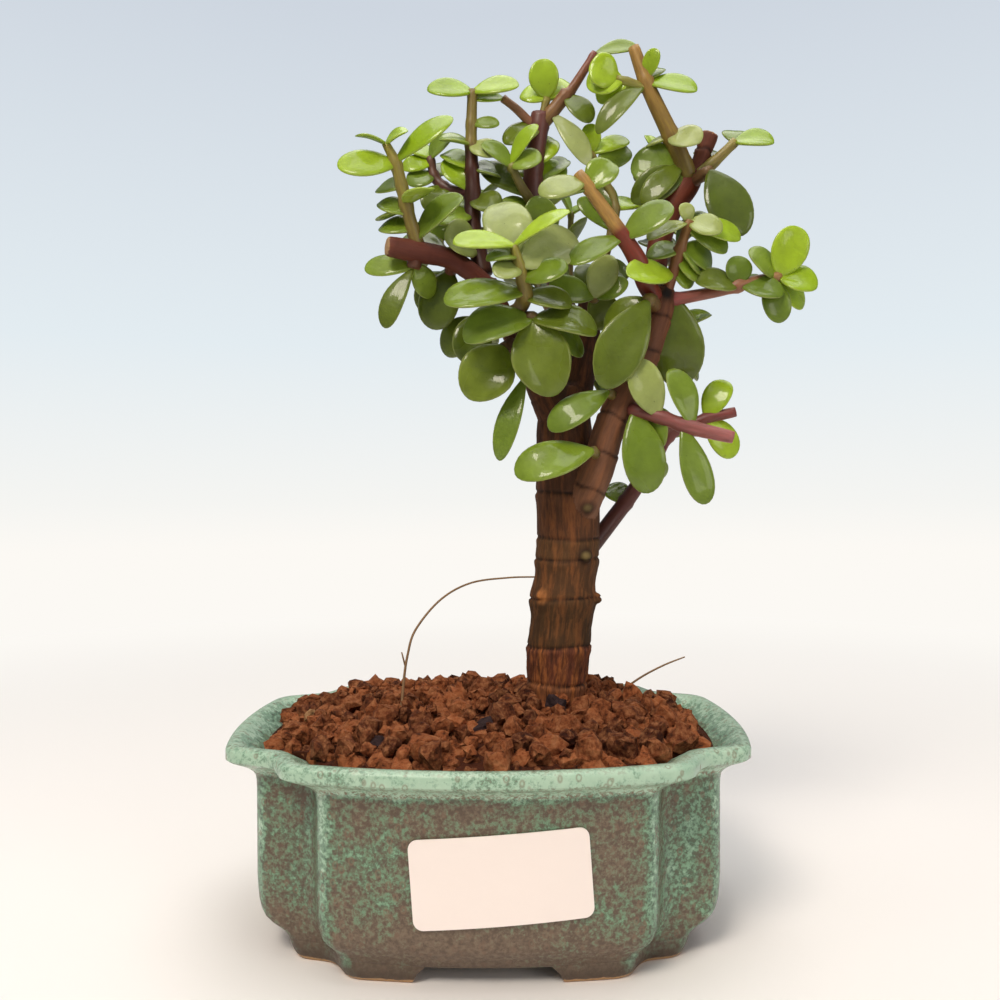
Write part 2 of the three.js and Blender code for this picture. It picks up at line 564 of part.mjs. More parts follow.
// Thick spoon-shaped leaf: a raised upper face and a flatter underside, joined by a rim.
function blade(base, reach, width, leanDeg, fat = 0) {
  const along = reach.clone().normalize();
  const face = bladeFace(along, leanDeg);
  const side = along.clone().cross(face);
  const length = reach.length() + fat;
  const point = (share, across, lift) => base.clone()
    .addScaledVector(along, share * length)
    .addScaledVector(side, across)
    .addScaledVector(face, BLADE.arch * length * 4 * share * (1 - share) + lift);
  const edge = BLADE_EDGE.map(([share, wide]) => [share, wide * width + fat]);
  const outline = [[0, 0], ...edge, [1, 0], ...edge.map(([share, wide]) => [share, -wide]).reverse()];
  const points = [
    ...outline.map(([share, across]) => point(share, across, BLADE.rimHalf + fat)),
    ...outline.map(([share, across]) => point(share, across, -BLADE.rimHalf - fat)),
    point(BLADE.midAt, 0, BLADE.midHalf + fat),
  ];
  const count = outline.length;
  const index = [];
  for (let i = 0; i < count; i += 1) {
    const next = (i + 1) % count;
    index.push(i, next, 2 * count);
    index.push(i, count + i, count + next, i, count + next, next);
    if (i > 0 && next > 0) index.push(count, count + next, count + i);
  }
  const geometry = new THREE.BufferGeometry();
  geometry.setAttribute('position', new THREE.Float32BufferAttribute(points.flatMap((p) => p.toArray()), 3));
  geometry.setIndex(index);
  return toSolid(geometry);
}

function twigParts({ route, leaves }, fat = 0) {
  const path = smoothPath(route);
  const blades = leaves.map(([share, x, y, z, width, lean]) => (
    blade(path.getPoint(share), new THREE.Vector3(x, y, z), width, lean, fat)));
  return [stem(route, SIDES.twig, fat), ...blades];
}

// A sprig's twig with its pairs of leaves, by the rule of opposite pairs in quarter turns.
function growSprig([, start, end, pairs, longest, firstTurn], draw) {
  const from = new THREE.Vector3(...start);
  const to = new THREE.Vector3(...end);
  const axis = to.clone().sub(from).normalize();
  const across = new THREE.Vector3(0, 0, 1).cross(axis).normalize();
  const over = axis.clone().cross(across);
  const bow = over.clone().multiplyScalar(from.distanceTo(to) * SPRIG.bow);
  const middle = from.clone().lerp(to, 0.5).sub(bow);
  const leaves = [];
  for (let pair = 0; pair < pairs; pair += 1) {
    const rise = (pair + 1) / pairs;
    const spread = THREE.MathUtils.lerp(SPRIG.spreadLow, SPRIG.spreadHigh, rise);
    for (let half = 0; half < 2; half += 1) {
      const jitter = () => SPRIG.jitterDeg * (2 * draw() - 1);
      const turn = THREE.MathUtils.degToRad(firstTurn + 90 * pair + 180 * half + jitter());
      const open = THREE.MathUtils.degToRad(spread + jitter());
      const size = longest * (1 - SPRIG.taper * rise) * (1 + SPRIG.sizeSpread * (2 * draw() - 1));
      const reach = across.clone().multiplyScalar(Math.cos(turn)).addScaledVector(over, Math.sin(turn));
      reach.multiplyScalar(Math.cos(open)).addScaledVector(axis, Math.sin(open)).multiplyScalar(size);
      reach.z -= SPRIG.droop * size * (1 - rise);
      const share = THREE.MathUtils.lerp(SPRIG.firstAt, SPRIG.lastAt, rise);
      leaves.push([share, ...reach.toArray(), size * SPRIG.widthShare, SPRIG.leanDeg * draw()]);
    }
  }
  const radii = [SPRIG.baseRadius, (SPRIG.baseRadius + SPRIG.tipRadius) / 2, SPRIG.tipRadius];
  return { route: [from, middle, to].map((p, i) => [...p.toArray(), radii[i]]), leaves };
}

// ---------------------------------------------------------------- the soil
const soilTop = (x, y) => SOIL.edge + SOIL.crown * (1 - (x / SOIL.spanX) ** 2) * (1 - (y / SOIL.spanY) ** 2);

// Relief of granules: six-sided cells, each with a tilted top that stands above the clefts round it.
function granuleRelief() {
  const draw = seededDraw(GRANULE.seed);
  const rowStep = GRANULE.pitch * Math.sqrt(0.75);
  const rows = Math.ceil(BODY_PLAN.half[1] / rowStep) + 1;
  const columns = Math.ceil(BODY_PLAN.half[0] / GRANULE.pitch) + 1;
  const centres = new Map();
  const key = (row, column) => `${row},${column}`;
  for (let row = -rows - 1; row <= rows + 1; row += 1) {
    for (let column = -columns - 1; column <= columns + 1; column += 1) {
      const x = (column + (row % 2 ? 0.5 : 0)) * GRANULE.pitch + GRANULE.jitter * (2 * draw() - 1);
      const y = row * rowStep + GRANULE.jitter * (2 * draw() - 1);
      centres.set(key(row, column), { x, y, rise: GRANULE.rise + GRANULE.riseSpread * (2 * draw() - 1) });
    }
  }
  const points = [];
  const index = [];
  const named = new Map();
  const addPoint = (x, y, lift) => points.push(new THREE.Vector3(x, y, soilTop(x, y) + lift)) - 1;
  // a cleft is the point between three neighbouring cells, shared by them
  const cleft = (cells) => {
    const name = cells.slice().sort().join(' ');
    if (!named.has(name)) {
      const [p, q, r] = cells.map((cell) => centres.get(cell));
      named.set(name, addPoint((p.x + q.x + r.x) / 3, (p.y + q.y + r.y) / 3, -GRANULE.cleft * (1 + draw())));
    }
    return named.get(name);
  };
  for (let row = -rows; row <= rows; row += 1) {
    for (let column = -columns; column <= columns; column += 1) {
      const shift = row % 2 ? 0 : -1;
      const around = [[0, 1], [1, shift + 1], [1, shift], [0, -1], [-1, shift], [-1, shift + 1]]
        .map(([dr, dc]) => key(row + dr, column + dc));
      const own = centres.get(key(row, column));
      const low = around.map((cell, i) => cleft([key(row, column), cell, around[(i + 1) % 6]]));
      const top = low.map((point) => {
        const { x, y } = points[point];
        const share = GRANULE.topShare + GRANULE.topSpread * (2 * draw() - 1);
        const lift = own.rise * (1 + GRANULE.tilt * (2 * draw() - 1));
        return addPoint(own.x + (x - own.x) * share, own.y + (y - own.y) * share, lift);
      });
      low.forEach((point, i) => {
        const next = (i + 1) % 6;
        index.push(point, low[next], top[next], point, top[next], top[i]);
      });
      const corners = [0, 1, 2, 0, 2, 3, 0, 3, 5, 3, 4, 5];
      index.push(...corners.map((corner) => top[corner]));
    }
  }
  return closeBelow(points, index);
}

// Closes an open patch into a solid with a skirt down to the ground and a flat underside.
function closeBelow(points, index) {
  const directed = new Set();
  for (let i = 0; i < index.length; i += 3) {
    for (let k = 0; k < 3; k += 1) directed.add(`${index[i + k]},${index[i + (k + 1) % 3]}`);
  }
  const border = new Map([...directed]
    .filter((edge) => !directed.has(edge.split(',').reverse().join(',')))
    .map((edge) => edge.split(',').map(Number)));
  const loop = [border.keys().next().value];
  while (border.get(loop.at(-1)) !== loop[0]) loop.push(border.get(loop.at(-1)));
  const first = points.length;
  loop.forEach((point) => points.push(new THREE.Vector3(points[point].x, points[point].y, 0)));
  loop.forEach((point, i) => {
    const j = (i + 1) % loop.length;
    index.push(loop[j], point, first + i, loop[j], first + i, first + j);
  });
  const outline = loop.map((point) => new THREE.Vector2(points[point].x, points[point].y));
  THREE.ShapeUtils.triangulateShape(outline, []).forEach(([a, b, c]) => {
    index.push(first + a, first + c, first + b);
  });
  const geometry = new THREE.BufferGeometry();
  geometry.setAttribute('position', new THREE.Float32BufferAttribute(points.flatMap((p) => p.toArray()), 3));
  geometry.setIndex(index);
  return toSolid(geometry);
}

// Bed of clay granules that fills the bowl up to its domed, lumpy top.
function makeSoil(trunkHole, netRecesses) {
  const walls = INNER_WALL.slice(1).reverse();
  const rings = walls.map(([height, inset, level], i) => (
    planRing(height + (i === 0 ? SOIL.underside : 0), inset + GAP, level)));
  const mouth = [POT_HEIGHT - SOIL.belowLip, 2 * POT_HEIGHT]
    .map((height) => planRing(height, INNER_WALL[0][1] + GAP, 1));
  const space = toSolid(loft([...rings, ...mouth]));
  return largestPiece(clearOf(granuleRelief().intersect(space), [trunkHole, ...netRecesses]));
}

// ---------------------------------------------------------------- assembly
const model = new THREE.Group();

function addPiece(name, solid, material) {
  const mesh = new THREE.Mesh(toGeometry(solid), material);
  mesh.name = name;
  model.add(mesh);
}

function makeWood(fat = 0) {
  const limbs = Object.values(LIMBS).map((route) => stem(route, SIDES.limb, fat));
  return [stem(TRUNK, SIDES.trunk, fat), ...limbs];
}

addPiece('pot', makePot(), MATERIALS.glaze);
addPiece('drain_net_left', makeNet(-1), MATERIALS.net);
addPiece('drain_net_right', makeNet(1), MATERIALS.net);
const wood = makeWood();
const woodClearance = makeWood(GAP);
addPiece('trunk_and_limbs', joinAll(wood), MATERIALS.bark);
addPiece('soil', makeSoil(woodClearance[0], [makeNet(-1, GAP), makeNet(1, GAP)]), MATERIALS.soil);
addPiece('label', makeLabel(), MATERIALS.paper);

const sprigDraw = seededDraw(SPRIG.seed);
const grown = { ...SHOOTS };
SPRIGS.forEach((sprig) => {
  grown[sprig[0]] = [growSprig(sprig, sprigDraw)];
});
const taken = [...woodClearance];
for (const [name, twigs] of Object.entries(grown)) {
  const parts = twigs.flatMap((twig) => twigParts(twig));
  addPiece(name, largestPiece(clearOf(joinAll(parts), taken)), MATERIALS.leaf);
  taken.push(...twigs.flatMap((twig) => twigParts(twig, GAP)));
}

// The origin lies under the middle of the whole object's box.
const box = new THREE.Box3().setFromObject(model);
model.position.set(-(box.min.x + box.max.x) / 2, -(box.min.y + box.max.y) / 2, 0);
const bonsai = new THREE.Group();
bonsai.add(model);

export default bonsai;
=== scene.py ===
"""Dwarf jade bonsai (Portulacaria afra) in a glazed, four-lobed bowl filled with clay granules.

The plant and the bowl are laid out in millimetres about the middle of the bowl's underside,
as in the part's source, and each finished mesh is moved into the row frame and to metres.
"""
import json
import math

import bmesh
import bpy
import numpy as np
from mathutils import Euler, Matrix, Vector, noise

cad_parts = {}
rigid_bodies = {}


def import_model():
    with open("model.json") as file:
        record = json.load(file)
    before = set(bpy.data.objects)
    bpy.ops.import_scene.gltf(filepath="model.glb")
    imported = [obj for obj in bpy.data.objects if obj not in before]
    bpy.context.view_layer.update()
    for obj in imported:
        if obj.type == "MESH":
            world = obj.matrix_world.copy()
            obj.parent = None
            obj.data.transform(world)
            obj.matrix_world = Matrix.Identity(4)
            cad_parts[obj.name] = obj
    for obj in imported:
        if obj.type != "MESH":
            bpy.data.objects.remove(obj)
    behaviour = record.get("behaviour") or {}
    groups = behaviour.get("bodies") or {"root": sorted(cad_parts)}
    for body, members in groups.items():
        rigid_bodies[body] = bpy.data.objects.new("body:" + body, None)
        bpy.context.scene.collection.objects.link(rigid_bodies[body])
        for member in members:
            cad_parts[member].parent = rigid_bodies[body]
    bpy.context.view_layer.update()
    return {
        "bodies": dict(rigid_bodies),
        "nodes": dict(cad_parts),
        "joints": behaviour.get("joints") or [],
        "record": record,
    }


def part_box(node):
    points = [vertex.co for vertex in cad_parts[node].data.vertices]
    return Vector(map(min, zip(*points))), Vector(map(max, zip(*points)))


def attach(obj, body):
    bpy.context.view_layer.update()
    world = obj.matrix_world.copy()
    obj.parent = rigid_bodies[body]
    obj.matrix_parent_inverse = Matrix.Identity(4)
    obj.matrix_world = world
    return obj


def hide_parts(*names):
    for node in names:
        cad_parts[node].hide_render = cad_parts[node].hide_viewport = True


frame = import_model()

# ---- driving dimensions, in mm
MM = 0.001
FULL_TURN = 6.283         # in radians
BODY = "root"
POT_LOW, POT_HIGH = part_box("pot")
SHIFT = Vector(((POT_LOW[0] + POT_HIGH[0]) / 2 / MM, 0, 0))  # the bowl's middle in the row frame

GAP = 0.3                 # clearance between touching pieces
# plans of the bowl at its foot, body and rim: half sizes, then the points of a notched corner
FOOT_PLAN = {"half": (49, 41), "front_end": (32, 38.5), "notch": (36.5, 31), "side_end": (46, 28.5)}
BODY_PLAN = {"half": (57, 46), "front_end": (38, 41.5), "notch": (41, 30.5), "side_end": (55.5, 27.5)}
RIM_PLAN = {"half": (65.5, 50.5), "front_end": (45.5, 44), "notch": (49.5, 34), "side_end": (62.3, 29)}
# where the bends of a corner start and end, as shares of the straights beside them
CORNER = {
    "panel_end": 0.9, "notch_in": 0.3, "notch_out": 0.62, "side_in": 0.3, "side_out": 0.72, "side_end": 0.86,
}
LESS_INSET = 0.8          # share of a wall's inset that the end of a panel takes along the panel
PANEL_STEPS, BEND_STEPS = 8, 6
FOOT_HEIGHT = 4.2
FLOOR_TOP = 8.2
# walls as (height, inset, plan), where the plan runs from -1 at the foot through 0 to 1 at the rim
OUTER_WALL = (
    (FOOT_HEIGHT, 0.3, -0.86), (4.6, 0.05, -0.82), (5.4, 0, -0.77), (6.3, 0, -0.68), (7.2, 0, -0.53),
    (8.2, 0, -0.35), (9.4, 0, -0.2), (11, 0, -0.11), (13.2, 0, -0.05), (16, 0, -0.02), (19, 0, 0),
    (40, 0, 0), (42, 0, 0.01), (43.3, 0, 0.05), (44.2, 0.05, 0.16), (45, 0.1, 0.33), (45.6, 0.15, 0.5),
    (46.2, 0.1, 0.72), (46.7, 0, 0.9), (47.2, 0, 1), (48, 0, 1), (49.2, 0, 1), (49.8, 0.15, 1),
    (50.2, 0.6, 1), (50.45, 1.2, 1), (50.5, 1.9, 1),
)
INNER_WALL = (
    (50.3, 3, 1), (49.6, 3.8, 1), (46.8, 5.4, 0.7), (42, 4.4, 0), (14, 6.6, 0), (10, 8.5, 0),
    (FLOOR_TOP, 12, 0),
)
# how thick the glaze lies on the ribs and notches of the corners and on the lip, and how far that reaches
RUN = {
    "rib": 0.8, "rib_reach": 2.6, "notch": 0.35, "notch_reach": 5, "lip": 1.1, "lip_from": (42.6, 44.4),
    "inner_wall": (46.5, 50), "inner_loss": (0.6, 0.15), "inward": 1.5, "inside": 0.25, "inside_from": 4.5,
    "low_at": (0, 9, 16), "low": (-0.3, -0.25, 0),
}
# broken brown lines along the lip: height, half width and strength
LIP_LINES = ((46.6, 1.8, 0.8), (49, 1.3, 0.5), (53.4, 0.8, 0.3))
# feet, with levels as (height, inset, spread of the cheeks, plan)
FOOT = {"inner": 9, "arch_x": 17, "arch_y": 14, "side_clear": 0.6}
FOOT_LEVELS = (
    (0, 0.85, -0.35, -1), (0.35, 0.5, 0, -0.98), (1.2, 0.25, 0.3, -0.94), (2.4, 0.1, 0.9, -0.89),
    (3.4, 0, 1.9, -0.86), (FOOT_HEIGHT, -0.05, 2.8, -0.845), (4.7, 0, 3.3, -0.83), (5.4, 0.6, 3.8, -0.8),
)
DRAIN = {"x": 22, "radius": 5.5, "sides": 48}
NET = {"size": 17, "bar": 0.55, "bars": 9, "thick": 0.8, "lap": 0.3}
SOIL = {"edge": 48.5, "crown": 7.7, "span_x": 56, "span_y": 47, "rim_height": 46}
SOIL_RINGS = (1, 0.93, 0.84, 0.74, 0.64, 0.54, 0.44, 0.34, 0.24, 0.14, 0.06)
GRANULE = {
    "small": 3.0, "large": 7.4, "spacing": 2.9, "variants": 8, "sink": 0.7, "upper_lift": 3.1,
    "upper_spacing": 4.4, "bed": 1.6, "seed": 41, "warp": 1.2, "warp_scale": 2.3, "warp_step": 3.7,
    "crowding": 3.0, "seed_step": 11.0, "mostly_small": 1.4,
    "flattest": (0.8, 0.8, 0.68), "longest": (1.15, 1.0, 0.95), "shaded_bed_tone": -1,
}
# lengths that the scattering takes, by the names of its inputs
GRANULE_LENGTHS = {
    "Spacing": "spacing", "Upper spacing": "upper_spacing", "Upper lift": "upper_lift",
    "Smallest": "small", "Largest": "large", "Sink": "sink",
}
LABEL = {"width": 40, "height": 20, "thick": 0.3, "corner": 2.2, "tilt": 3.9, "x": 3, "z": 25.9}
LABEL_STEPS = {"bend": 8, "run": 16}
EDGE_ANGLE = {"bowl": 38, "label": 30}          # edges sharper than this shade as edges

CAMERA = {"x": 3, "y": -257, "height": 112, "down": 0.8, "roll": -0.2, "lens": 34.92, "sensor": 36}

# ---- woody stems: (x, y, z, radius)
TRUNK = [
    [17.4, 2, 34, 6.8], [17.8, 2, 50, 7.5], [18, 2, 59, 7.9], [18.6, 2, 68.7, 8.5], [19.2, 2, 75, 8.2],
    [19.7, 2, 81.7, 8.9], [20.3, 2, 87, 8.2], [20.8, 2, 92.5, 8.5], [21.2, 2, 98, 8.3], [21.1, 2, 110, 8.5],
    [20.6, 3, 120, 7.9], [20.4, 4, 130, 7.1], [22, 5, 138, 5.4],
]
LIMBS = {
    "centre": [[21.5, 4, 130, 5.6], [24.5, 6, 141, 4.3], [26.5, 6, 152, 3.7], [27.5, 5, 163, 3]],
    "left": [[19, 3, 128, 5], [13.5, 1, 138, 3.4], [8.7, 0, 147, 2.7], [4.5, -1, 156, 2.6], [0, 0, 166, 2.7]],
    "stump_left": [
        [1, -0.5, 164, 2.4], [-6, -1.5, 169.5, 2.6], [-11, -3, 171.8, 2.6], [-18, -5, 172.8, 2.9],
        [-25.8, -8, 173.6, 2.6],
    ],
    "right": [
        [24, 0, 104, 4.4], [25.5, -3.5, 109.5, 4.6], [28.6, -5, 117, 4.3], [31, -6, 126, 4.1],
        [34.5, -6, 134, 4],
        [39, -6, 142, 3.9], [42.2, -5, 150, 3.7], [44.7, -4, 158, 3.7], [45.6, -3.5, 163.5, 3.3],
    ],
    "right_back": [
        [45, -3, 160, 3], [44.8, 2, 172, 3], [48.5, 4, 185, 3.2], [53, 5, 192, 3.5], [55.3, 5, 196, 3.1],
    ],
    "stump_right": [[54.6, 5, 193, 2.5], [57.3, 4.5, 200, 2.2], [59.6, 4, 206.3, 2.5]],
    "back": [[23, 5, 136, 3.4], [21.5, 12, 149, 2.7], [18, 19, 161, 2.2]],
}


SHOOTS = {
    "shoot_left_tip": [
        {
            "route": [[-18, -5, 174, 1.8], [-20.5, -7, 183, 1.6], [-23.2, -8, 194, 1.5],
                      [-25.8, -9, 199.5, 0.9]],
            "leaves": [
                [0.98, -7.5, -2, 2, 6, 20], [0.98, 5.5, -2, 3, 6, 40],
                [0.68, -14.5, -3, -1.8, 9.5, 62], [0.7, 14.8, -3, 10.5, 8, 52],
                [0.38, 7, -8, 1.5, 8, 15], [0.34, -8, 6, -1.5, 7.5, 35],
                [0.06, 12.5, -4, 10, 9, 50], [0.16, -9, 4, 2, 8.5, 50], [0.4, 4, 8, 4, 8, 20],
                [0.5, -7, 6, 1.5, 7, 60],
            ],
        },
    ],
    "shoot_left_low": [
        {
            "route": [[-18.5, -5, 172, 1.9], [-19, -4.5, 169.8, 1.6], [-19.3, -4.5, 168.5, 1.2]],
            "leaves": [[0.95, -7.5, -3, -15.5, 6.5, 50], [0.9, -13, 4, 1, 7.5, 62], [0.5, 4, 4, -8, 7, 60]],
        },
    ],
    "shoot_left_inner": [
        {
            "route": [[-9.5, -2, 171.5, 1.8], [-10, 3, 169.5, 1.5], [-10.5, 6, 168.5, 1.2]],
            "leaves": [[0.95, -8, 1, -9, 10, 80], [0.5, -5, 0, -15.5, 11, 85], [0.9, -4, 8, 2, 9, 40]],
        },
    ],
    "shoot_left_mid": [
        {
            "route": [
                [-1, 1, 168, 2.5], [-4, 3, 181, 2.3], [-4, 4, 191, 2.1], [-4.4, 4, 204, 1.6],
                [-4, 4, 218, 1.3],
            ],
            "leaves": [
                [0.99, -12, -2, 0, 8, 58], [0.99, 12.5, -2, 1, 8, 55],
                [0.84, 7.5, -2, -0.8, 4.5, 65], [0.74, -8.5, -2, 1, 7, 35], [0.74, 7, -3, -4, 8, 55],
                [0.62, 8, 3, -1, 8, 45], [0.45, 7, -4, -4, 9, 55], [0.34, -10, -4, -3, 9.5, 50],
                [0.14, -8.5, -7, 1, 11, 75], [0.5, -7.5, 4, 10, 8, 70],
            ],
        },
        {
            "route": [[-4, 4, 190.5, 1.8], [-10.5, 7.5, 192.5, 1.6], [-14.5, 9, 196.5, 1.3],
                      [-15.7, 9, 202, 1]],
            "leaves": [
                [0.98, -6, 3, 4, 7, 40], [0.98, 6, -2, 5, 7, 50],
                [0.9, -8, -1, -1.5, 6, 65], [0.7, -7, -2, -3, 8, 55],
                [0.68, 5, 6, 5, 7.5, 40], [0.45, -3, -4, -9, 8.5, 70],
            ],
        },
    ],
    "shoot_top_middle": [
        {
            "route": [[25, 6, 150, 2.6], [18.5, 8, 168, 2.8], [12.3, 8, 190, 2.7], [14.3, 7, 213, 2.6]],
            "leaves": [
                [0.95, -9.5, -3, -6, 8.5, 55], [0.8, 6, 3, 8.5, 7.5, 80], [0.74, -6, 6, 7, 8.5, 40],
                [0.5, -2, -6, 10.5, 10, 80], [0.7, 8.5, 5, 9, 9, 80],
                [0.62, 6.5, 5, 10, 9, 75], [0.6, -10.5, -3, 2, 7.5, 70],
            ],
        },
        {
            "route": [[12.8, 7, 209, 1.3], [8.2, 6, 213.4, 1.2], [4.2, 6, 216.6, 1]],
            "leaves": [[0.98, -8.3, -1, -0.3, 5, 60]],
        },
        {
            "route": [[14.5, 7, 211, 1.1], [16, 7, 217, 0.9]],
            "leaves": [[0.98, -1.3, -2, 9.8, 8.2, 85], [0.98, -7, 2, 2.5, 7.5, 65], [0.9, 7, 4, 4.5, 5, 60]],
        },
        {
            "route": [[14.8, 7, 210, 1.9], [20.8, 6, 217, 1.8], [22.3, 6, 218.3, 1.4], [29, 5, 228.3, 1]],
            "leaves": [
                [0.98, 11.5, -2, 1, 5.8, 60], [0.12, 10, -4, -15, 6.5, 65], [0.6, -5.5, 4, 1.5, 5, 70],
                [0.36, 6.5, -3, -8.3, 7, 60],
            ],
        },
        {
            "route": [[12.5, 7, 188, 1.5], [9, 3, 192, 1.3], [6, 1, 197.5, 1]],
            "leaves": [[0.96, 6.5, -3, 10, 6, 40], [0.95, 8, -3, 0.8, 8, 60], [0.9, -8, -1, 6.5, 6, 55]],
        },
    ],
    "shoot_front": [
        {
            "route": [
                [4.5, -1, 157, 2.2], [8, -7, 157.5, 2], [9.4, -13, 160.5, 1.9], [8.2, -15.5, 165.5, 1.4],
                [6.6, -17, 171.5, 1],
            ],
            "leaves": [
                [0.99, -15, -3, -0.5, 8.5, 45], [0.99, 13.5, -4, 7.5, 7, 40],
                [0.88, -7.5, -3, -1, 6, 40], [0.8, 15.5, 6, 7.5, 12, 80], [0.78, -6, -5, -3, 7, 60],
                [0.66, 11, -4, 2.5, 8, 60], [0.74, -5.5, 6, 19.5, 12.5, 75],
                [0.5, -20, -5, -3, 11, 50], [0.44, 12, -1, -2, 8.5, 50],
            ],
        },
        {
            "route": [[7.5, -4, 155.5, 1.9], [10.5, -9, 155, 1.7], [11.4, -12, 153.8, 1.4]],
            "leaves": [
                [0.85, -17, -5, -5.5, 12, 55], [0.9, 16, -4, -3.5, 10.5, 50], [0.95, 5, -2, -19.5, 15, 88],
                [0.7, 14, 3, -8.5, 7.5, 60],
            ],
        },
    ],
    "shoot_left_under": [
        {
            "route": [[6.5, -1, 150, 1.9], [5, -5, 148.5, 1.5], [4, -7, 147.8, 1.2]],
            "leaves": [[0.95, -9, -3, -13.7, 14.4, 80]],
        },
    ],
    "shoot_left_under_back": [
        {
            "route": [[2.5, 0, 160, 1.8], [-1.5, 3, 158, 1.4], [-3.5, 5, 157, 1.1]],
            "leaves": [[0.95, -9, 3, -9, 10, 70], [0.6, -4, -4, -13, 10.5, 80], [0.9, 3, 9, -6, 10, 40]],
        },
    ],
    "spur_left": [
        {
            "route": [[14.5, 1, 137, 1.4], [11, -3, 140, 1.2], [9.8, -4.5, 140.8, 1]],
            "leaves": [[0.95, -7.4, -4, -21.8, 6.5, 40]],
        },
    ],
    "spur_fork_low": [
        {
            "route": [[28.8, -6, 119, 1.5], [26.6, -11, 121, 1.2]],
            "leaves": [[0.95, -20, -3, -5, 11.5, 55]],
        },
    ],
    "spur_fork_high": [
        {
            "route": [[33.5, -6, 134, 1.5], [30.6, -10.5, 136, 1.2]],
            "leaves": [[0.95, -15.5, -3, -9, 9, 55]],
        },
    ],
    "shoot_front_right": [
        {
            "route": [
                [44, -4, 160, 2.4], [40.5, -9, 163.5, 2.5], [38, -11.5, 168.7, 2.4], [33.8, -12, 175.3, 2],
                [25.7, -13, 186.4, 1.6], [22.8, -13, 190.5, 1.4],
            ],
            "leaves": [
                [0.86, -11.5, -3, -4, 8.5, 55], [0.8, 6, 1, 7, 8.5, 65], [0.8, -7, 4, -1, 7, 40],
                [0.58, -14, -3, -7.5, 7.5, 55], [0.58, 12, -3, 7, 9.5, 55],
            ],
        },
    ],
    "spur_fork_top": [
        {
            "route": [[44, -4, 157, 1.9], [41.7, -10, 159.2, 1.7], [40, -13, 158.3, 1.3]],
            "leaves": [
                [0.95, -11.5, -1.5, -22, 12.5, 85], [0.8, -10.5, 4, -7, 9, 60],
            ],
        },
    ],
    "shoot_low_front": [
        {
            "route": [
                [35.8, -6, 131.8, 1.5], [38, -10, 131, 1.6], [44.7, -12, 129, 1.7], [50.3, -13, 126.8, 1.9],
                [61.3, -15, 124, 1.6],
            ],
            "leaves": [
                [0.44, -6, -3, 14, 9, 80], [0.78, -4.8, 2, 15.3, 8, 35],
                [0.2, 3.3, -3, -21, 11, 85], [0.5, -4, 6, -6.5, 9, 60],
                [0.7, 5.4, -2, -20, 8, 60],
            ],
        },
    ],
    "shoot_low_right": [
        {
            "route": [
                [27, 3, 95, 2.2], [33, 6, 102.3, 2.2], [39, 7.5, 110, 2.1], [45.3, 8, 119.5, 1.9],
                [49.5, 8, 126.1, 1.7], [58.1, 7, 129.9, 1.5], [66.9, 6, 132, 1.4],
            ],
            "leaves": [
                [0.85, 8.5, 2, -10, 9, 65], [0.85, 6, 1, 10.5, 7.5, 50], [0.66, -6, 4, 7, 8, 50],
                [0.64, 5, 9, 2, 8, 30], [0.5, 1.5, 6, -7, 8, 55], [0.28, -4, 5, 5, 7.5, 50],
            ],
        },
    ],
    "shoot_right_arm": [
        {
            "route": [
                [45.5, -3.5, 160, 1.9], [53, -4.5, 161.2, 1.6], [61.8, -5, 162.8, 1.4],
                [69.5, -5, 165.2, 1.3],
                [76, -5, 166, 1.1],
            ],
            "leaves": [
                [0.98, 4.2, -2, 12.6, 9.5, 85], [0.98, 9.3, -2, -3, 9, 60], [0.96, 8, 4, -7, 8, 60],
                [0.94, -7, -2, 7, 8, 50], [0.88, 2.6, -1, -11.8, 7.5, 85],
                [0.62, 10, -3, -3.5, 8.5, 55], [0.6, -1, -1, 7.5, 7, 85], [0.56, 6, 8, 5, 8, 30],
                [0.58, -11, -3, 1, 8.5, 55], [0.12, 1.6, 5, -22.3, 13.2, 85],
            ],
        },
    ],
    "shoot_inner_right": [
        {
            "route": [[46.3, -4.5, 162, 1.6], [48.8, -8, 171, 1.4], [51.5, -9, 179.5, 1.2]],
            "leaves": [
                [0.97, -11, -3, -4.5, 6, 40], [0.97, 8, -2, -3, 8.5, 55], [0.9, 11, 4, -5, 8, 68],
                [0.98, -2, -1, 4.5, 4.5, 60], [0.6, 6, 5, -5, 9.5, 55], [0.55, -8, 3, 0, 8, 50],
                [0.25, -13, -10.5, -2.5, 9, 65], [0.45, 7.5, 3, -4, 8, 65],
            ],
        },
    ],
    "shoot_crown_right": [
        {
            "route": [[55.5, 4, 195, 1.8], [60, 3, 198, 1.5], [66, 2, 203.5, 1.2]],
            "leaves": [[0.97, 10, -2, -1, 8.5, 50], [0.97, 1, 5, 5, 7, 40], [0.5, -2, 6, 5, 7, 40]],
        },
    ],
    "spur_crown_right": [
        {
            "route": [[54.5, 4, 193, 1.8], [57.5, 0, 194.5, 1.5], [58.5, -1.5, 194.5, 1.3]],
            "leaves": [[0.92, 7.8, -3, -18, 12, 80], [0.4, 9, 8, -8, 10, 55]],
        },
    ],
    "shoot_top_right": [
        {
            "route": [
                [54, 4, 194, 2.4], [51, 3, 201, 2.4], [47.8, 2, 207, 2.3], [42.3, 1, 218, 2],
                [38.7, 1, 228, 1.6],
            ],
            "leaves": [
                [0.76, 13, -2, -3, 8, 55], [0.78, 2.5, -3, 7, 4.5, 60], [0.78, 4.5, 3, 4.5, 6.5, 40],
                [0.76, -13.5, -3, -13.5, 6.5, 60], [0.44, 6.5, -7, -4.5, 8.5, 75], [0.42, -6, 5, -1, 7, 40],
                [0.14, -11.5, -3, -11, 7, 65], [0.06, -14.5, 3, 3, 13, 82],
            ],
        },
        {
            "route": [[41.8, 1, 217, 1.4], [37, 0, 218.3, 1.2], [34, 0, 219.3, 1]],
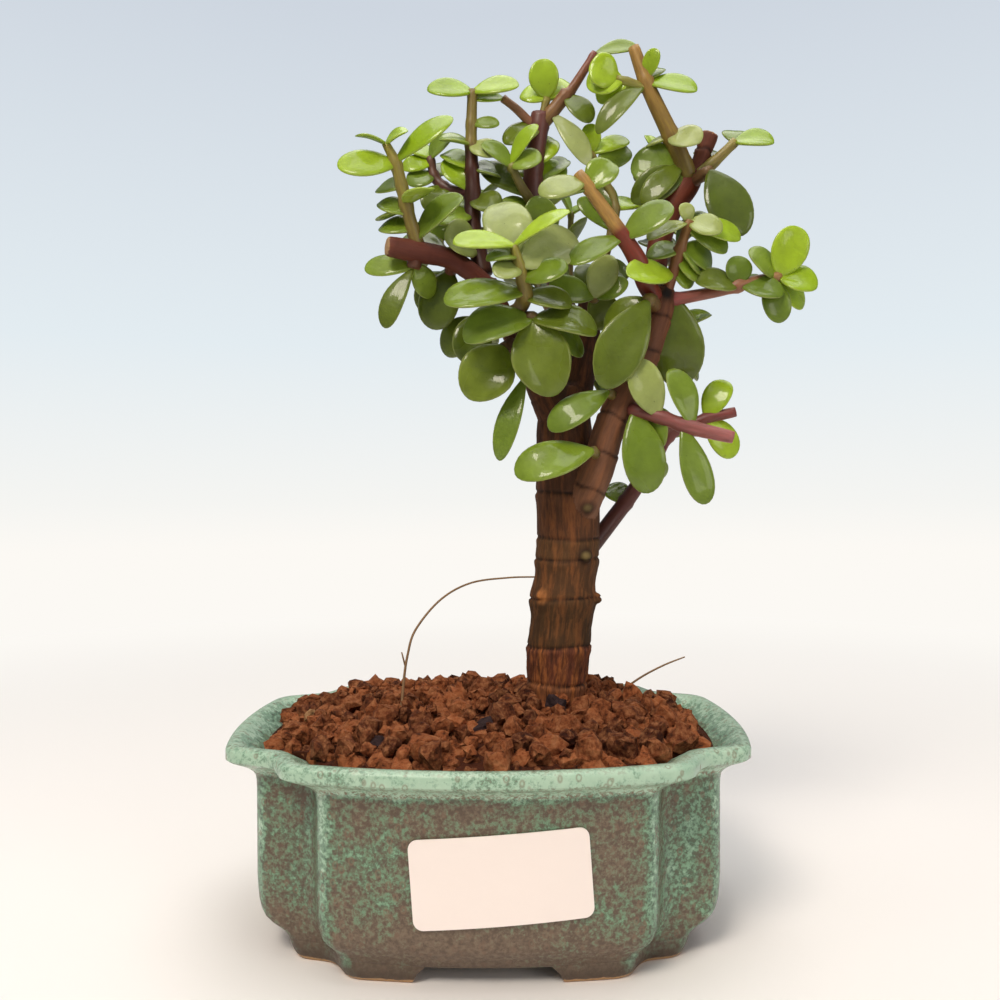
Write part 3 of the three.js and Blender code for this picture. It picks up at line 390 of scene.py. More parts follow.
            "leaves": [[0.97, -7.5, -2, 2.5, 9.5, 85], [0.5, -8, 4, -2.5, 7.5, 80]],
        },
    ],
    "shoot_centre": [
        {
            "route": [
                [27.5, 5, 161.5, 1.6], [31.5, 5.5, 174, 1.3], [34.5, 6.5, 187, 1.2], [31, 7, 196, 1.1],
                [27.8, 7, 202.5, 0.9],
            ],
            "leaves": [
                [0.98, -0.5, -2, 7.5, 5.5, 80], [0.98, 10.5, 2, 4.5, 6, 60], [0.82, 8.5, 2, 6.5, 8, 80],
                [0.5, -7.5, 4, 4, 8, 60], [0.5, 6, 7, 4, 8, 50],
                [0.38, -9, 1, 9, 6.5, 70], [0.42, -5.5, 3, 12, 8, 75],
            ],
        },
        {
            "route": [[28.5, 5, 166, 1.5], [28, -1, 163, 1.5], [27.3, -6, 160.5, 1.2]],
            "leaves": [
                [0.97, 4.5, -2, 10.5, 8, 82], [0.97, -11.5, -2, 3.5, 7.5, 75], [0.9, 8.5, -3, 3.5, 6.5, 70],
                [0.85, -3, 3, 9, 7, 60],
            ],
        },
    ],
}

SPRIG = {
    "base_radius": 1.5, "tip_radius": 0.8, "bow": 0.06, "first_at": 0.3, "last_at": 0.98,
    "spread_low": 12, "spread_high": 48, "taper": 0.4, "size_spread": 0.12, "width_share": 0.7,
    "jitter_deg": 16, "droop": 0.22, "lean_deg": 40, "seed": 7,
}
# sprigs that fill the back of the crown: start, end, pairs of leaves, longest leaf, first turn
SPRIGS = [
    ["sprig_back_left", [-9, -1, 172], [-15, 20, 184], 3, 15, 20],
    ["sprig_back_left_high", [-2, 3, 172], [-5, 22, 197], 3, 15, 70],
    ["sprig_back_middle", [18.5, 18, 160], [13, 34, 177], 3, 15, 10],
    ["sprig_back_middle_high", [21, 13, 151], [24, 27, 192], 3, 16, 40],
    ["sprig_back_low", [24.5, 6, 141], [33, 25, 146], 3, 15, 80],
    ["sprig_back_right", [45.5, 1, 171], [56, 23, 184], 3, 15, 30],
    ["sprig_back_right_low", [43.5, -4, 154], [54, 17, 156], 3, 15, 60],
    ["sprig_crown_back", [51, 5, 189], [48, 19, 206], 3, 13, 50],
]

SIDES = {"trunk": 24, "limb": 18, "twig": 12}
STEM_STEP = 1.2           # distance between a stem's rings
PATH_STEPS = 200          # steps in which a stem's route is measured
TWIG_STEPS = 40           # steps in which the places of a twig's leaves are measured
END_TAPER, END_DOME = 0.93, 0.08      # a stem's end rings and domes, as shares of its radius
GRAIN_STRETCH = 6         # how much longer than wide the bark's pattern is
VOXEL = 0.5               # grain of the mesh in which the limbs are fused
# the trunk's segments from the foot up: height of the ring scar under each, its colour, rust and coarseness
SEGMENTS = (
    (0, "#8a5638", 1.0, 1.0), (60.1, "#74402a", 1.0, 1.0), (69.7, "#4e361e", 0.35, 0.5),
    (82.4, "#5a3c22", 0.5, 0.45), (93, "#5e4024", 0.4, 0.4), (98.4, "#593822", 0.5, 0.4),
    (110.3, "#4c2e1c", 0.3, 0.4),
)
# a ring scar is a raised collar under a cut: the collar's height, distance and width, then the cut's
# depth and width
TRUNK_SCAR = (0.22, 1.2, 1.2, 0.5, 0.3)
LIMB_SCAR = (0.14, 0.8, 0.9, 0.28, 0.32)
LIMB_SCAR_SPACING = 9.5
SCAR_SHADE = 0.85         # how much darker the cut is
TRUNK_GROOVE, LIMB_GROOVE = 0.35, 0.42          # half widths of the dark grooves in the cuts
LIMB_GROOVE_SHARE = 0.7                         # strength of a limb's groove against the trunk's
SCAR_TILT, SCAR_RIPPLE, LIMB_RIPPLE = 0.35, 0.12, 0.3   # how far scars stray from a level ring
SAWN_DEPTH, SAWN_REACH = 0.25, 0.92             # a sawn face's depth, and its share of the radius
UNDER_SKIN = 0.3          # how little depth under a stem's skin counts where stems meet
WOUND_EDGE = 1.5          # how steeply a wound's colour fades to its rim
BARK_RIDGE = 0.36         # depth of the fibre ridges on the coarsest bark
BROAD_FIBRES, FINE_FIBRES, FINE_SHARE = (0.75, 0.75, 1.6), (1.6, 1.6, 3.2), 0.6
BUDS = ((25.6, -5.3, 106.4, 1.7), (25.2, -5.5, 93.9, 1.9), (28.5, -0.6, 82.4, 1.4), (13.6, -3.6, 83.6, 1.3))

# ---- leaves
LEAF = {
    "along": 15, "around": 16, "neck": 0.13, "thick": 0.12, "thick_least": 1.15, "thick_most": 2.1,
    "arch": 0.05, "tip_curl": 0.06, "fold": 0.26, "least_fold": 0.3, "crease": 1.3, "sway": 0.03,
    "bluntest": 1.6, "blunt_spread": 0.9, "wide_thick": 1.6, "thins_from": 0.72, "base_depth": 0.78,
    "curl_bias": 1.3, "least_bloom": 0.5, "under": "#9aa860", "under_share": 0.3, "under_from": -0.2,
    "seed": 19,
}
NODE_SWELL, NODE_LENGTH = 0.28, 0.8   # how far and how long a twig swells under a pair of leaves
TURN_SHARE = 0.05                     # share of a twig's length over which its colour turns
# outline of the narrowest and the roundest leaf: width over length, widest place, fullness below it
NARROW, ROUND = (0.4, 0.62, 1.05), (0.75, 0.52, 0.7)
# leaf tones: the colours between which a leaf's own is drawn, and its bloom
TONES = {
    "y": ("#86a412", "#a4c02c", 0.0),
    "m": ("#607818", "#7e9626", 0.1),
    "d": ("#566614", "#6e7e1c", 0.1),
    "o": ("#4c5c12", "#66761a", 0.05),
    "p": ("#7a8c38", "#9ca85a", 0.6),
    "b": ("#84944e", "#9ca868", 1.0),
}
# one letter a leaf and one string a twig, in the order of the shoot's own lists
LEAF_TONES = {
    "shoot_left_tip": ["yyyyymmmmm"],
    "shoot_left_low": ["omm"],
    "shoot_left_inner": ["oom"],
    "shoot_left_mid": ["yymmpmompy", "ymymmo"],
    "shoot_top_middle": ["oyomyom", "y", "yym", "mbyo", "ymm"],
    "shoot_front": ["yymbpmbmo", "modm"],
    "shoot_left_under": ["d"],
    "shoot_left_under_back": ["ooo"],
    "spur_left": ["m"],
    "spur_fork_low": ["m"],
    "spur_fork_high": ["m"],
    "shoot_front_right": ["pmmmm"],
    "spur_fork_top": ["do"],
    "shoot_low_front": ["pmmmm"],
    "shoot_low_right": ["yymmmm"],
    "shoot_right_arm": ["yyymmmmmoo"],
    "shoot_inner_right": ["ppmpmmym"],
    "shoot_crown_right": ["ymm"],
    "spur_crown_right": ["oo"],
    "shoot_top_right": ["yymobpom", "yy"],
    "shoot_centre": ["yymmymo", "pmmo"],
}
SPRIG_TONES = "oommyy"
# smaller leaves that fill out some twigs: shoot and twig, then the leaf and its tone
FILLERS = {
    ("shoot_left_tip", 0): (([0.3, -8, 3, 4, 7, 50], "m"),),
    ("shoot_left_mid", 0): (([0.62, -8, 5, 6.5, 7, 50], "y"),),
    ("shoot_top_middle", 0): (([0.72, 10, 6, 9, 6, 60], "m"),),
    ("shoot_top_middle", 2): (([0.95, 6, 3, 6.5, 5.5, 70], "y"),),
    ("shoot_top_middle", 4): (([0.25, -12.5, 4, 10.3, 7.5, 70], "o"),),
    ("shoot_top_right", 0): (([0.08, -14.5, 0, -8, 9.5, 82], "o"),),
    ("shoot_top_right", 1): (([0.7, -9.5, 1, -0.5, 9, 80], "y"),),
    ("shoot_centre", 1): (([0.2, 9, 5, 7, 9, 75], "o"), ([0.5, 4, 4, -9, 9, 80], "o")),
    ("shoot_inner_right", 0): (
        ([0.6, 9.5, 6, -3.5, 8, 70], "m"), ([0.97, 14, 4, -3, 7, 65], "y"), ([0.3, 6, 3, -2, 8, 75], "m"),
    ),
}
# colour of each twig at its foot and at its tip, and the share of its length where it turns, if it does
STEM_LOOKS = {
    "shoot_left_tip": [("#7d6c34", "#a39a40")],
    "shoot_left_low": [("#6b3a33", "#6b4630")],
    "shoot_left_inner": [("#6b3a33", "#6b4630")],
    "shoot_left_mid": [("#421a10", "#8a7c3a", 0.69), ("#5a2a30", "#6a4a38")],
    "shoot_top_middle": [
        ("#54302a", "#6b3c36"), ("#8a5a40", "#a87c54"), ("#8a7a3c", "#94903c"), ("#8a6a3a", "#8c4c3e"),
        ("#6a5a30", "#8a8a3c"),
    ],
    "shoot_front": [("#7a5636", "#98943c"), ("#5c3826", "#6e5a30")],
    "shoot_left_under": [("#5c3a2a", "#6b5230")],
    "shoot_left_under_back": [("#5c3a2a", "#6b5230")],
    "spur_left": [("#5a3c26", "#6e6030")],
    "spur_fork_low": [("#5f4028", "#77702f")],
    "spur_fork_high": [("#5f4028", "#77702f")],
    "shoot_front_right": [("#7c3020", "#b9904c", 0.57)],
    "spur_fork_top": [("#6a3c28", "#7a6a34")],
    "shoot_low_front": [("#6b3228", "#b06a68")],
    "shoot_low_right": [("#40201a", "#8a4440")],
    "shoot_right_arm": [("#9c484a", "#a07a4c")],
    "shoot_inner_right": [("#7c4628", "#8f6a38")],
    "shoot_crown_right": [("#8a8038", "#a09448")],
    "spur_crown_right": [("#5c2e24", "#7a6034")],
    "shoot_top_right": [("#7e7028", "#b28a48"), ("#8a8438", "#9aa040")],
    "shoot_centre": [("#6a4c2c", "#8f8a40"), ("#6a4630", "#7a6a34")],
}
SPRIG_STEM_LOOK = ("#6a4c30", "#8f8a40")


# ---- small tools
def linear(hex_colour):
    """An sRGB hex colour as linear red, green, blue and an alpha of 1."""
    parts = [int(hex_colour[i : i + 2], 16) / 255 for i in (1, 3, 5)]
    return (*(c / 12.92 if c <= 0.04045 else ((c + 0.055) / 1.055) ** 2.4 for c in parts), 1.0)


def mixed(a, b, share):
    return [p + (q - p) * share for p, q in zip(a, b)]


def seeded_draw(seed):
    """The part's own draw between 0 and 1: a linear congruential generator."""
    state = seed
    while True:
        state = (state * 1664525 + 1013904223) % 4294967296
        yield state / 4294967296


def to_row(point):
    """A point of the layout, in mm, in the row frame and metres."""
    return (Vector(point) + SHIFT) * MM


def mesh_object(name, points, faces, smooth=True):
    """A mesh from layout points in mm, with its object at the origin."""
    mesh = bpy.data.meshes.new(name)
    mesh.from_pydata([to_row(point) for point in points], [], faces)
    mesh.validate()
    mesh.shade_smooth() if smooth else mesh.shade_flat()
    obj = bpy.data.objects.new(name, mesh)
    bpy.context.scene.collection.objects.link(obj)
    return obj


def set_values(obj, name, values):
    attribute = obj.data.attributes.new(name, "FLOAT", "POINT")
    attribute.data.foreach_set("value", values)


def set_vectors(obj, name, values):
    attribute = obj.data.attributes.new(name, "FLOAT_VECTOR", "POINT")
    attribute.data.foreach_set("vector", np.asarray(values, dtype=np.float32).ravel())


def set_colours(obj, name, values):
    attribute = obj.data.color_attributes.new(name, "FLOAT_COLOR", "POINT")
    attribute.data.foreach_set("color", np.asarray(values, dtype=np.float32).ravel())


def finished(obj, node_names, slot, *materials):
    """The piece stands for its CAD nodes, on the part's one body; its slot is not used."""
    for material in materials:
        obj.data.materials.append(material)
    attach(obj, BODY)
    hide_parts(*node_names)
    return obj


def baked(obj):
    """The object with its modifiers made into a plain mesh."""
    evaluated = obj.evaluated_get(bpy.context.evaluated_depsgraph_get())
    mesh = bpy.data.meshes.new_from_object(evaluated)
    result = bpy.data.objects.new(obj.name + "_baked", mesh)
    bpy.context.scene.collection.objects.link(result)
    name = obj.name
    bpy.data.objects.remove(obj)
    result.name = name
    mesh.name = name
    return result


# ---- materials
def new_material(name):
    material = bpy.data.materials.new(name)
    material.use_nodes = True
    material.node_tree.nodes.clear()
    return material, material.node_tree


def add(tree, kind, inputs=None, **settings):
    """A node with its settings, input values and links."""
    made = tree.nodes.new(kind)
    for key, value in settings.items():
        setattr(made, key, value)
    for key, value in (inputs or {}).items():
        if isinstance(value, bpy.types.NodeSocket):
            tree.links.new(value, made.inputs[key])
        else:
            made.inputs[key].default_value = value
    return made


def per_mm(size):
    """A texture scale whose features are about that size, in mm."""
    return 1 / (size * MM)


def calc(tree, operation, *values):
    """The result of one sum on the values."""
    return add(tree, "ShaderNodeMath", dict(enumerate(values)), operation=operation).outputs[0]


def ranged(tree, value, low, high, to_low=0.0, to_high=1.0):
    """The value carried from one range into another and kept inside it."""
    inputs = {"Value": value, "From Min": low, "From Max": high, "To Min": to_low, "To Max": to_high}
    return add(tree, "ShaderNodeMapRange", inputs).outputs[0]


def blend(tree, share, first, second):
    """A colour between two, each a hex colour or the output of a node."""
    first, second = (linear(end) if isinstance(end, str) else end for end in (first, second))
    return add(tree, "ShaderNodeMix", {0: share, 6: first, 7: second}, data_type="RGBA").outputs[2]


def noise_at(tree, place, scale, detail, roughness=0.5):
    inputs = {"Vector": place, "Scale": scale, "Detail": detail, "Roughness": roughness}
    return add(tree, "ShaderNodeTexNoise", inputs).outputs["Fac"]


def cells_at(tree, place, size, **settings):
    return add(tree, "ShaderNodeTexVoronoi", {"Vector": place, "Scale": per_mm(size)}, **settings).outputs


def attribute(tree, name):
    return add(tree, "ShaderNodeAttribute", attribute_name=name).outputs


def relief(tree, height, strength, depth):
    """Bump of a depth in mm."""
    inputs = {"Strength": strength, "Distance": depth * MM, "Height": height}
    return add(tree, "ShaderNodeBump", inputs).outputs[0]


def surfaced(material, tree, inputs):
    shader = add(tree, "ShaderNodeBsdfPrincipled", inputs)
    add(tree, "ShaderNodeOutputMaterial", {"Surface": shader.outputs[0]})
    return material


def burst_bubbles(tree, place):
    """Small brown rings that burst bubbles leave in the glaze."""
    sagged = add(tree, "ShaderNodeMapping", {"Vector": place, "Scale": (1, 1, 0.7)}).outputs["Vector"]
    cell = cells_at(tree, sagged, 2.1)
    hole = ranged(tree, cell["Distance"], 0.14, 0.24)
    wall = ranged(tree, cell["Distance"], 0.4, 0.28)
    ring = calc(tree, "MULTIPLY", hole, wall)
    shown = calc(tree, "MULTIPLY", ring, calc(tree, "GREATER_THAN", cell["Color"], 0.5))
    return calc(tree, "MULTIPLY", shown, 0.5)


def glaze():
    """Celadon glaze on stoneware: pale green where it pools, broken mauve-brown where it is thin."""
    material, tree = new_material("celadon_glaze_on_stoneware")
    place = add(tree, "ShaderNodeTexCoord").outputs["Object"]
    run = attribute(tree, "run")["Fac"]
    speckle = noise_at(tree, place, per_mm(1.1), 4, 0.7)
    mottle = noise_at(tree, place, per_mm(3.6), 4, 0.6)
    cloud = noise_at(tree, place, per_mm(22), 2)
    grainy = ranged(tree, speckle, 0.4, 0.6)
    # depth of the glaze, from 0 where it is thin to more than 1 where it pools
    patchy = calc(tree, "MULTIPLY_ADD", mottle, 0.9, -0.45)
    drift = calc(tree, "MULTIPLY_ADD", cloud, 0.9, patchy)
    broken = calc(tree, "MULTIPLY_ADD", grainy, 0.4, drift)
    pooled = calc(tree, "MULTIPLY_ADD", run, 0.8, broken)
    brown = blend(tree, grainy, "#5c4c3e", "#786654")
    green = blend(tree, grainy, "#4c6e58", "#6a9272")
    base = blend(tree, ranged(tree, pooled, 0.6, 1.08), brown, green)
    pale = blend(tree, mottle, "#92b69c", "#bed6be")
    bright = blend(tree, ranged(tree, pooled, 1.0, 1.5), base, pale)
    rings = burst_bubbles(tree, place)
    specks = ranged(tree, broken, 0.3, 0.16, 0.0, 0.8)
    # the glaze draws off both edges of the lip and leaves a broken brown line there
    height = add(tree, "ShaderNodeSeparateXYZ", {0: place}).outputs["Z"]
    wavy = calc(tree, "MULTIPLY_ADD", mottle, 2.4 * MM, height)
    ragged = calc(tree, "MULTIPLY_ADD", speckle, 3.2 * MM, wavy)
    edges = calc(tree, "MAXIMUM", rings, specks)
    flecked = ranged(tree, noise_at(tree, place, per_mm(0.8), 3, 0.6), 0.46, 0.58)
    broken_line = calc(tree, "MULTIPLY", flecked, ranged(tree, run, 0.3, 0.8))
    for middle, half, strength in LIP_LINES:
        away = calc(tree, "ABSOLUTE", calc(tree, "SUBTRACT", ragged, middle * MM))
        line = ranged(tree, away, half * MM, 0.3 * half * MM, 0.0, strength)
        edges = calc(tree, "MAXIMUM", edges, calc(tree, "MULTIPLY", line, broken_line))
    pitted = blend(tree, edges, bright, "#7d6350")
    # the feet took little glaze: dark, with a bare edge of tan stoneware
    low = ranged(tree, wavy, 8.5 * MM, 3 * MM, 0.0, 0.8)
    dark = blend(tree, low, pitted, "#483a2e")
    worn = calc(tree, "MULTIPLY_ADD", mottle, -1.2 * MM, height)
    colour = blend(tree, ranged(tree, worn, 0.4 * MM, 0.1 * MM), dark, "#b58d62")
    return surfaced(material, tree, {
        "Base Color": colour, "Roughness": ranged(tree, pooled, 0.5, 1.2, 0.5, 0.25), "IOR": 1.5,
        "Normal": relief(tree, broken, 0.5, 0.15)})


def fired_clay():
    """Crushed, hard-fired red clay: dull, pitted, dusty nuggets, with the odd charcoal and pale one."""
    material, tree = new_material("fired_clay_granules")
    place = add(tree, "ShaderNodeTexCoord").outputs["Object"]
    lump = attribute(tree, "lump")["Fac"]
    patch = noise_at(tree, place, per_mm(2), 5, 0.7)
    body = blend(tree, lump, "#451f0f", "#985632")
    dusted = blend(tree, ranged(tree, patch, 0.46, 0.7, 0.0, 0.8), body, "#b0764e")
    burnt = blend(tree, calc(tree, "GREATER_THAN", lump, 0.992), dusted, "#38292a")
    mixture = blend(tree, calc(tree, "LESS_THAN", lump, 0.012), burnt, "#a98058")
    # the bed under the nuggets carries a negative tone and takes a dark brown: the soil's own brown, darkened
    # as painted shade in the gaps between the nuggets
    bed_brown_and_shade = blend(tree, calc(tree, "LESS_THAN", lump, -0.5), mixture, "#4a2413")
    colour = blend(tree, ranged(tree, patch, 0.46, 0.32, 0.0, 0.85), bed_brown_and_shade, "#1e0d06")
    hollow = cells_at(tree, place, 1.5, feature="SMOOTH_F1")["Distance"]
    grit = noise_at(tree, place, per_mm(1.2), 5, 0.7)
    return surfaced(material, tree, {
        "Base Color": colour, "Roughness": 0.95, "IOR": 1.45, "Specular IOR Level": 0.25,
        "Normal": relief(tree, calc(tree, "ADD", hollow, grit), 1.0, 0.8)})


def bark():
    """Dry, fibrous succulent bark: fine lengthwise ridges with rust-orange flakes between them."""
    material, tree = new_material("fibrous_bark")
    # the grain vector is in mm round the stem and runs six times slower along it
    grain = attribute(tree, "grain")["Vector"]
    tint = attribute(tree, "tint")
    coarse = attribute(tree, "coarse")["Fac"]
    fibre = noise_at(tree, grain, 1.0, 6, 0.7)
    flake = noise_at(tree, grain, 0.5, 5, 0.65)
    rusty = calc(tree, "MULTIPLY", ranged(tree, flake, 0.46, 0.64), tint["Alpha"])
    warm = blend(tree, rusty, tint["Color"], "#9a5c30")
    # darker where the fibres dip: the bark's own darker furrows, with painted shade in them
    dark = ranged(tree, fibre, 0.36, 0.58, calc(tree, "MULTIPLY_ADD", coarse, 0.7, 0.12), 0.0)
    return surfaced(material, tree, {
        "Base Color": blend(tree, dark, warm, "#2a170d"),
        "Roughness": ranged(tree, coarse, 0.1, 0.5, 0.5, 0.8), "IOR": 1.45, "Specular IOR Level": 0.3,
        "Normal": relief(tree, fibre, calc(tree, "MULTIPLY_ADD", coarse, 0.6, 0.2), 0.25)})


def green_stem():
    """Young, fleshy stem with a waxy skin: faintly streaked, with a soft sheen."""
    material, tree = new_material("fleshy_stem_skin")
    streak = noise_at(tree, attribute(tree, "grain")["Vector"], 1.1, 4, 0.6)
    freckle = ranged(tree, streak, 0.4, 0.65, 0.4, 0.0)
    return surfaced(material, tree, {
        "Base Color": blend(tree, freckle, attribute(tree, "tint")["Color"], "#5a3a2c"), "Roughness": 0.42,
        "IOR": 1.45, "Subsurface Weight": 0.08, "Subsurface Scale": 0.8 * MM,
        "Normal": relief(tree, streak, 0.4, 0.12)})


def jade_leaf():
    """Plump succulent leaf: glossy cuticle over watery flesh, pale thin rim, tiny dark pores, dull bloom."""
    material, tree = new_material("succulent_leaf")
    place = add(tree, "ShaderNodeTexCoord").outputs["Object"]
    tint = attribute(tree, "tint")
    # the leaf vector's X runs from 0 on the midrib to 1 on the rim
    to_rim = add(tree, "ShaderNodeSeparateXYZ", {0: attribute(tree, "leaf")["Vector"]}).outputs["X"]
    cloud = noise_at(tree, place, per_mm(5), 4, 0.6)
    uneven = ranged(tree, cloud, 0.3, 0.7, 0.82, 1.16)
    flesh = add(tree, "ShaderNodeVectorMath", {0: tint["Color"], 1: uneven}, operation="MULTIPLY").outputs[0]
    bloomed = blend(tree, calc(tree, "MULTIPLY", cloud, tint["Alpha"]), flesh, "#a6b06c")
    rimmed = blend(tree, ranged(tree, to_rim, 0.9, 1.0, 0.0, 0.4), bloomed, "#b5bc6c")
    pore = cells_at(tree, place, 1.7)
    spot = ranged(tree, pore["Distance"], 0.13, 0.07)
    pores = calc(tree, "MULTIPLY", spot, calc(tree, "GREATER_THAN", pore["Color"], 0.6))
    colour = blend(tree, calc(tree, "MULTIPLY", pores, 0.45), rimmed, "#384418")
    wet = noise_at(tree, place, per_mm(11), 2)
    dent = noise_at(tree, place, per_mm(1.3), 3)
    return surfaced(material, tree, {
        "Base Color": colour, "Roughness": ranged(tree, wet, 0.4, 0.62, 0.24, 0.46), "IOR": 1.42,
        "Subsurface Weight": 0.18, "Subsurface Radius": (1.0, 1.0, 0.35), "Subsurface Scale": 1.2 * MM,
        "Specular IOR Level": 0.35, "Coat Weight": 0.4, "Coat Roughness": 0.05,
        "Normal": relief(tree, dent, 0.5, 0.2)})


def plain(name, colour, roughness):
    """One even material, such as paper or moulded plastic."""
    material, tree = new_material(name)
    return surfaced(material, tree, {"Base Color": linear(colour), "Roughness": roughness})


# ---- stems
def path_point(route, share):
    """The part's uniform Catmull-Rom curve through the route's points, with the radius carried along."""
    last = len(route) - 1
    place = min(max(share, 0), 1) * last
    i = min(int(place), last - 1)
    t = place - i
    p1, p2 = np.array(route[i]), np.array(route[i + 1])
    p0 = np.array(route[i - 1]) if i > 0 else 2 * p1 - p2
    p3 = np.array(route[i + 2]) if i + 2 <= last else 2 * p2 - p1
    t0, t1 = 0.5 * (p2 - p0), 0.5 * (p3 - p1)
    return p1 + t0 * t + (3 * p2 - 3 * p1 - 2 * t0 - t1) * t * t + (2 * p1 - 2 * p2 + t0 + t1) * t**3


def stem_frames(route):
    """Evenly spaced centres along a stem with radius, length so far and two directions across."""
    dense = np.array([path_point(route, i / PATH_STEPS) for i in range(PATH_STEPS + 1)])
    steps = np.linalg.norm(np.diff(dense[:, :3], axis=0), axis=1)
    length = np.concatenate([[0], np.cumsum(steps)])
    count = max(int(length[-1] / STEM_STEP), 4)
    at = np.linspace(0, length[-1], count + 1)
    rows = np.array([np.interp(at, length, dense[:, k]) for k in range(4)]).T
    tangents = np.gradient(rows[:, :3], axis=0)
    tangents /= np.linalg.norm(tangents, axis=1)[:, None]
    across = np.array([0.0, -1.0, 0.0])
    frames = []
    for row, tangent, far in zip(rows, tangents, at):
        across = across - tangent * across.dot(tangent)
        across = across / np.linalg.norm(across)
        frames.append((row[:3], row[3], far, across.copy(), np.cross(tangent, across), tangent))
    return frames


def tube(frames, sides, swell=None, first=0):
    """Rings along a stem, closed with slightly domed ends; swell adds to the radius at a length."""
    points, faces, grains = [], [], []
    for i, (centre, radius, far, across, side, _) in enumerate(frames):
        here = radius + (swell(far) if swell else 0)
        if i in (0, len(frames) - 1):
            here *= END_TAPER
        for k in range(sides):
            turn = 2 * math.pi * k / sides
            out = across * math.cos(turn) + side * math.sin(turn)
            points.append(centre + out * here)
            grains.append((radius * math.cos(turn), radius * math.sin(turn), far / GRAIN_STRETCH))
    for i in range(len(frames) - 1):
        for k in range(sides):
            a, b = first + i * sides + k, first + i * sides + (k + 1) % sides
            faces.append((a, b, b + sides, a + sides))
    for i, sign in ((0, -1), (len(frames) - 1, 1)):
        centre, radius, far, _, _, tangent = frames[i]
        points.append(centre + tangent * sign * END_DOME * radius)
        grains.append((0, 0, far / GRAIN_STRETCH))
        pole, ring = first + len(points) - 1, first + i * sides
        for k in range(sides):
            a, b = ring + k, ring + (k + 1) % sides
            faces.append((a, pole, b) if sign < 0 else (a, b, pole))
    return points, faces, grains


# ---- leafy shoots
def new_bundle():
    return {"points": [], "faces": [], "slots": [], "tint": [], "leaf": [], "grain": []}


def leaf_section(u, widest, swell, bluntness):
    """Width and depth of a leaf a share of the way along it, against its largest."""
    if u < widest:
        wide = LEAF["neck"] + (1 - LEAF["neck"]) * math.sin(math.pi / 2 * u / widest) ** swell
    else:
        wide = math.sqrt(1 - ((u - widest) / (1 - widest)) ** bluntness)
    thinning = max((u - LEAF["thins_from"]) / (1 - LEAF["thins_from"]), 0)
    deep = mixed([LEAF["base_depth"]], [1], math.sin(math.pi * u))[0]
    return wide, deep * math.sqrt(1 - thinning**2)


def skin_leaf(bundle, first):
    """Faces over a leaf's rings, from its flat foot to its tip, the last point."""
    faces, stations, around = bundle["faces"], LEAF["along"], LEAF["around"]
    for i in range(stations - 1):
        for k in range(around):
            a, b = first + i * around + k, first + i * around + (k + 1) % around
            faces.append((a, a + around, b + around, b))
    faces.append(tuple(first + k for k in range(around)))
    last, tip = first + (stations - 1) * around, len(bundle["points"]) - 1
    for k in range(around):
        faces.append((last + k, tip, last + (k + 1) % around))
    bundle["slots"].extend([0] * (len(faces) - len(bundle["slots"])))


def add_leaf(bundle, base, reach, width, lean_deg, looks, draw):
    """A plump, obovate blade from its base to its tip, arched, a little folded and curled."""
    length = np.linalg.norm(reach)
    along = reach / length
    lean = math.radians(lean_deg)
    face = np.array([0, -math.sin(lean), math.cos(lean)])
    face = face - along * face.dot(along)
    face = face / np.linalg.norm(face)
    side = np.cross(along, face)
    fold = LEAF["fold"] * (LEAF["least_fold"] + next(draw))
    curl = LEAF["tip_curl"] * (2 * next(draw) - LEAF["curl_bias"])
    sway = LEAF["sway"] * (2 * next(draw) - 1)
    bluntness = LEAF["bluntest"] + LEAF["blunt_spread"] * next(draw)
    fullness = min(max((width / length - NARROW[0]) / (ROUND[0] - NARROW[0]), 0), 1)
    widest, swell = mixed(NARROW[1:], ROUND[1:], fullness)
    upper = mixed(linear(looks[0]), linear(looks[1]), next(draw))[:3]
    under = mixed(upper, linear(LEAF["under"])[:3], LEAF["under_share"])
    bloom = looks[2] * (LEAF["least_bloom"] + next(draw))
    thick = width * LEAF["thick"] * LEAF["wide_thick"]
    thick = min(max(thick, LEAF["thick_least"]), LEAF["thick_most"])
    stations, around = LEAF["along"], LEAF["around"]
    first = len(bundle["points"])
    for i in range(stations):
        u = (1 - math.cos(math.pi * i / stations)) / 2
        wide, deep = leaf_section(u, widest, swell, bluntness)
        lift = LEAF["arch"] * length * 4 * u * (1 - u) + curl * length * max(u - 0.5, 0) ** 2 * 4
        middle = base + along * (u * length) + side * (sway * length * math.sin(math.pi * u))
        for k in range(around):
            turn = 2 * math.pi * k / around
            out, up = math.cos(turn), math.sin(turn)
            rise = 0.5 * thick * deep * up + 0.5 * width * wide * fold * abs(out) ** LEAF["crease"]
            bundle["points"].append(middle + side * (0.5 * width * wide * out) + face * (lift + rise))
            bundle["tint"].append((*(upper if up > LEAF["under_from"] else under), bloom))
            bundle["leaf"].append((abs(out), u, 1 if up >= 0 else 0))
            bundle["grain"].append((0, 0, 0))
    tip = base + along * length + face * (curl * length)
    bundle["points"].append(tip)
    bundle["tint"].append((*upper, bloom))
    bundle["leaf"].append((1, 1, 1))
    bundle["grain"].append((0, 0, 0))
    skin_leaf(bundle, first)


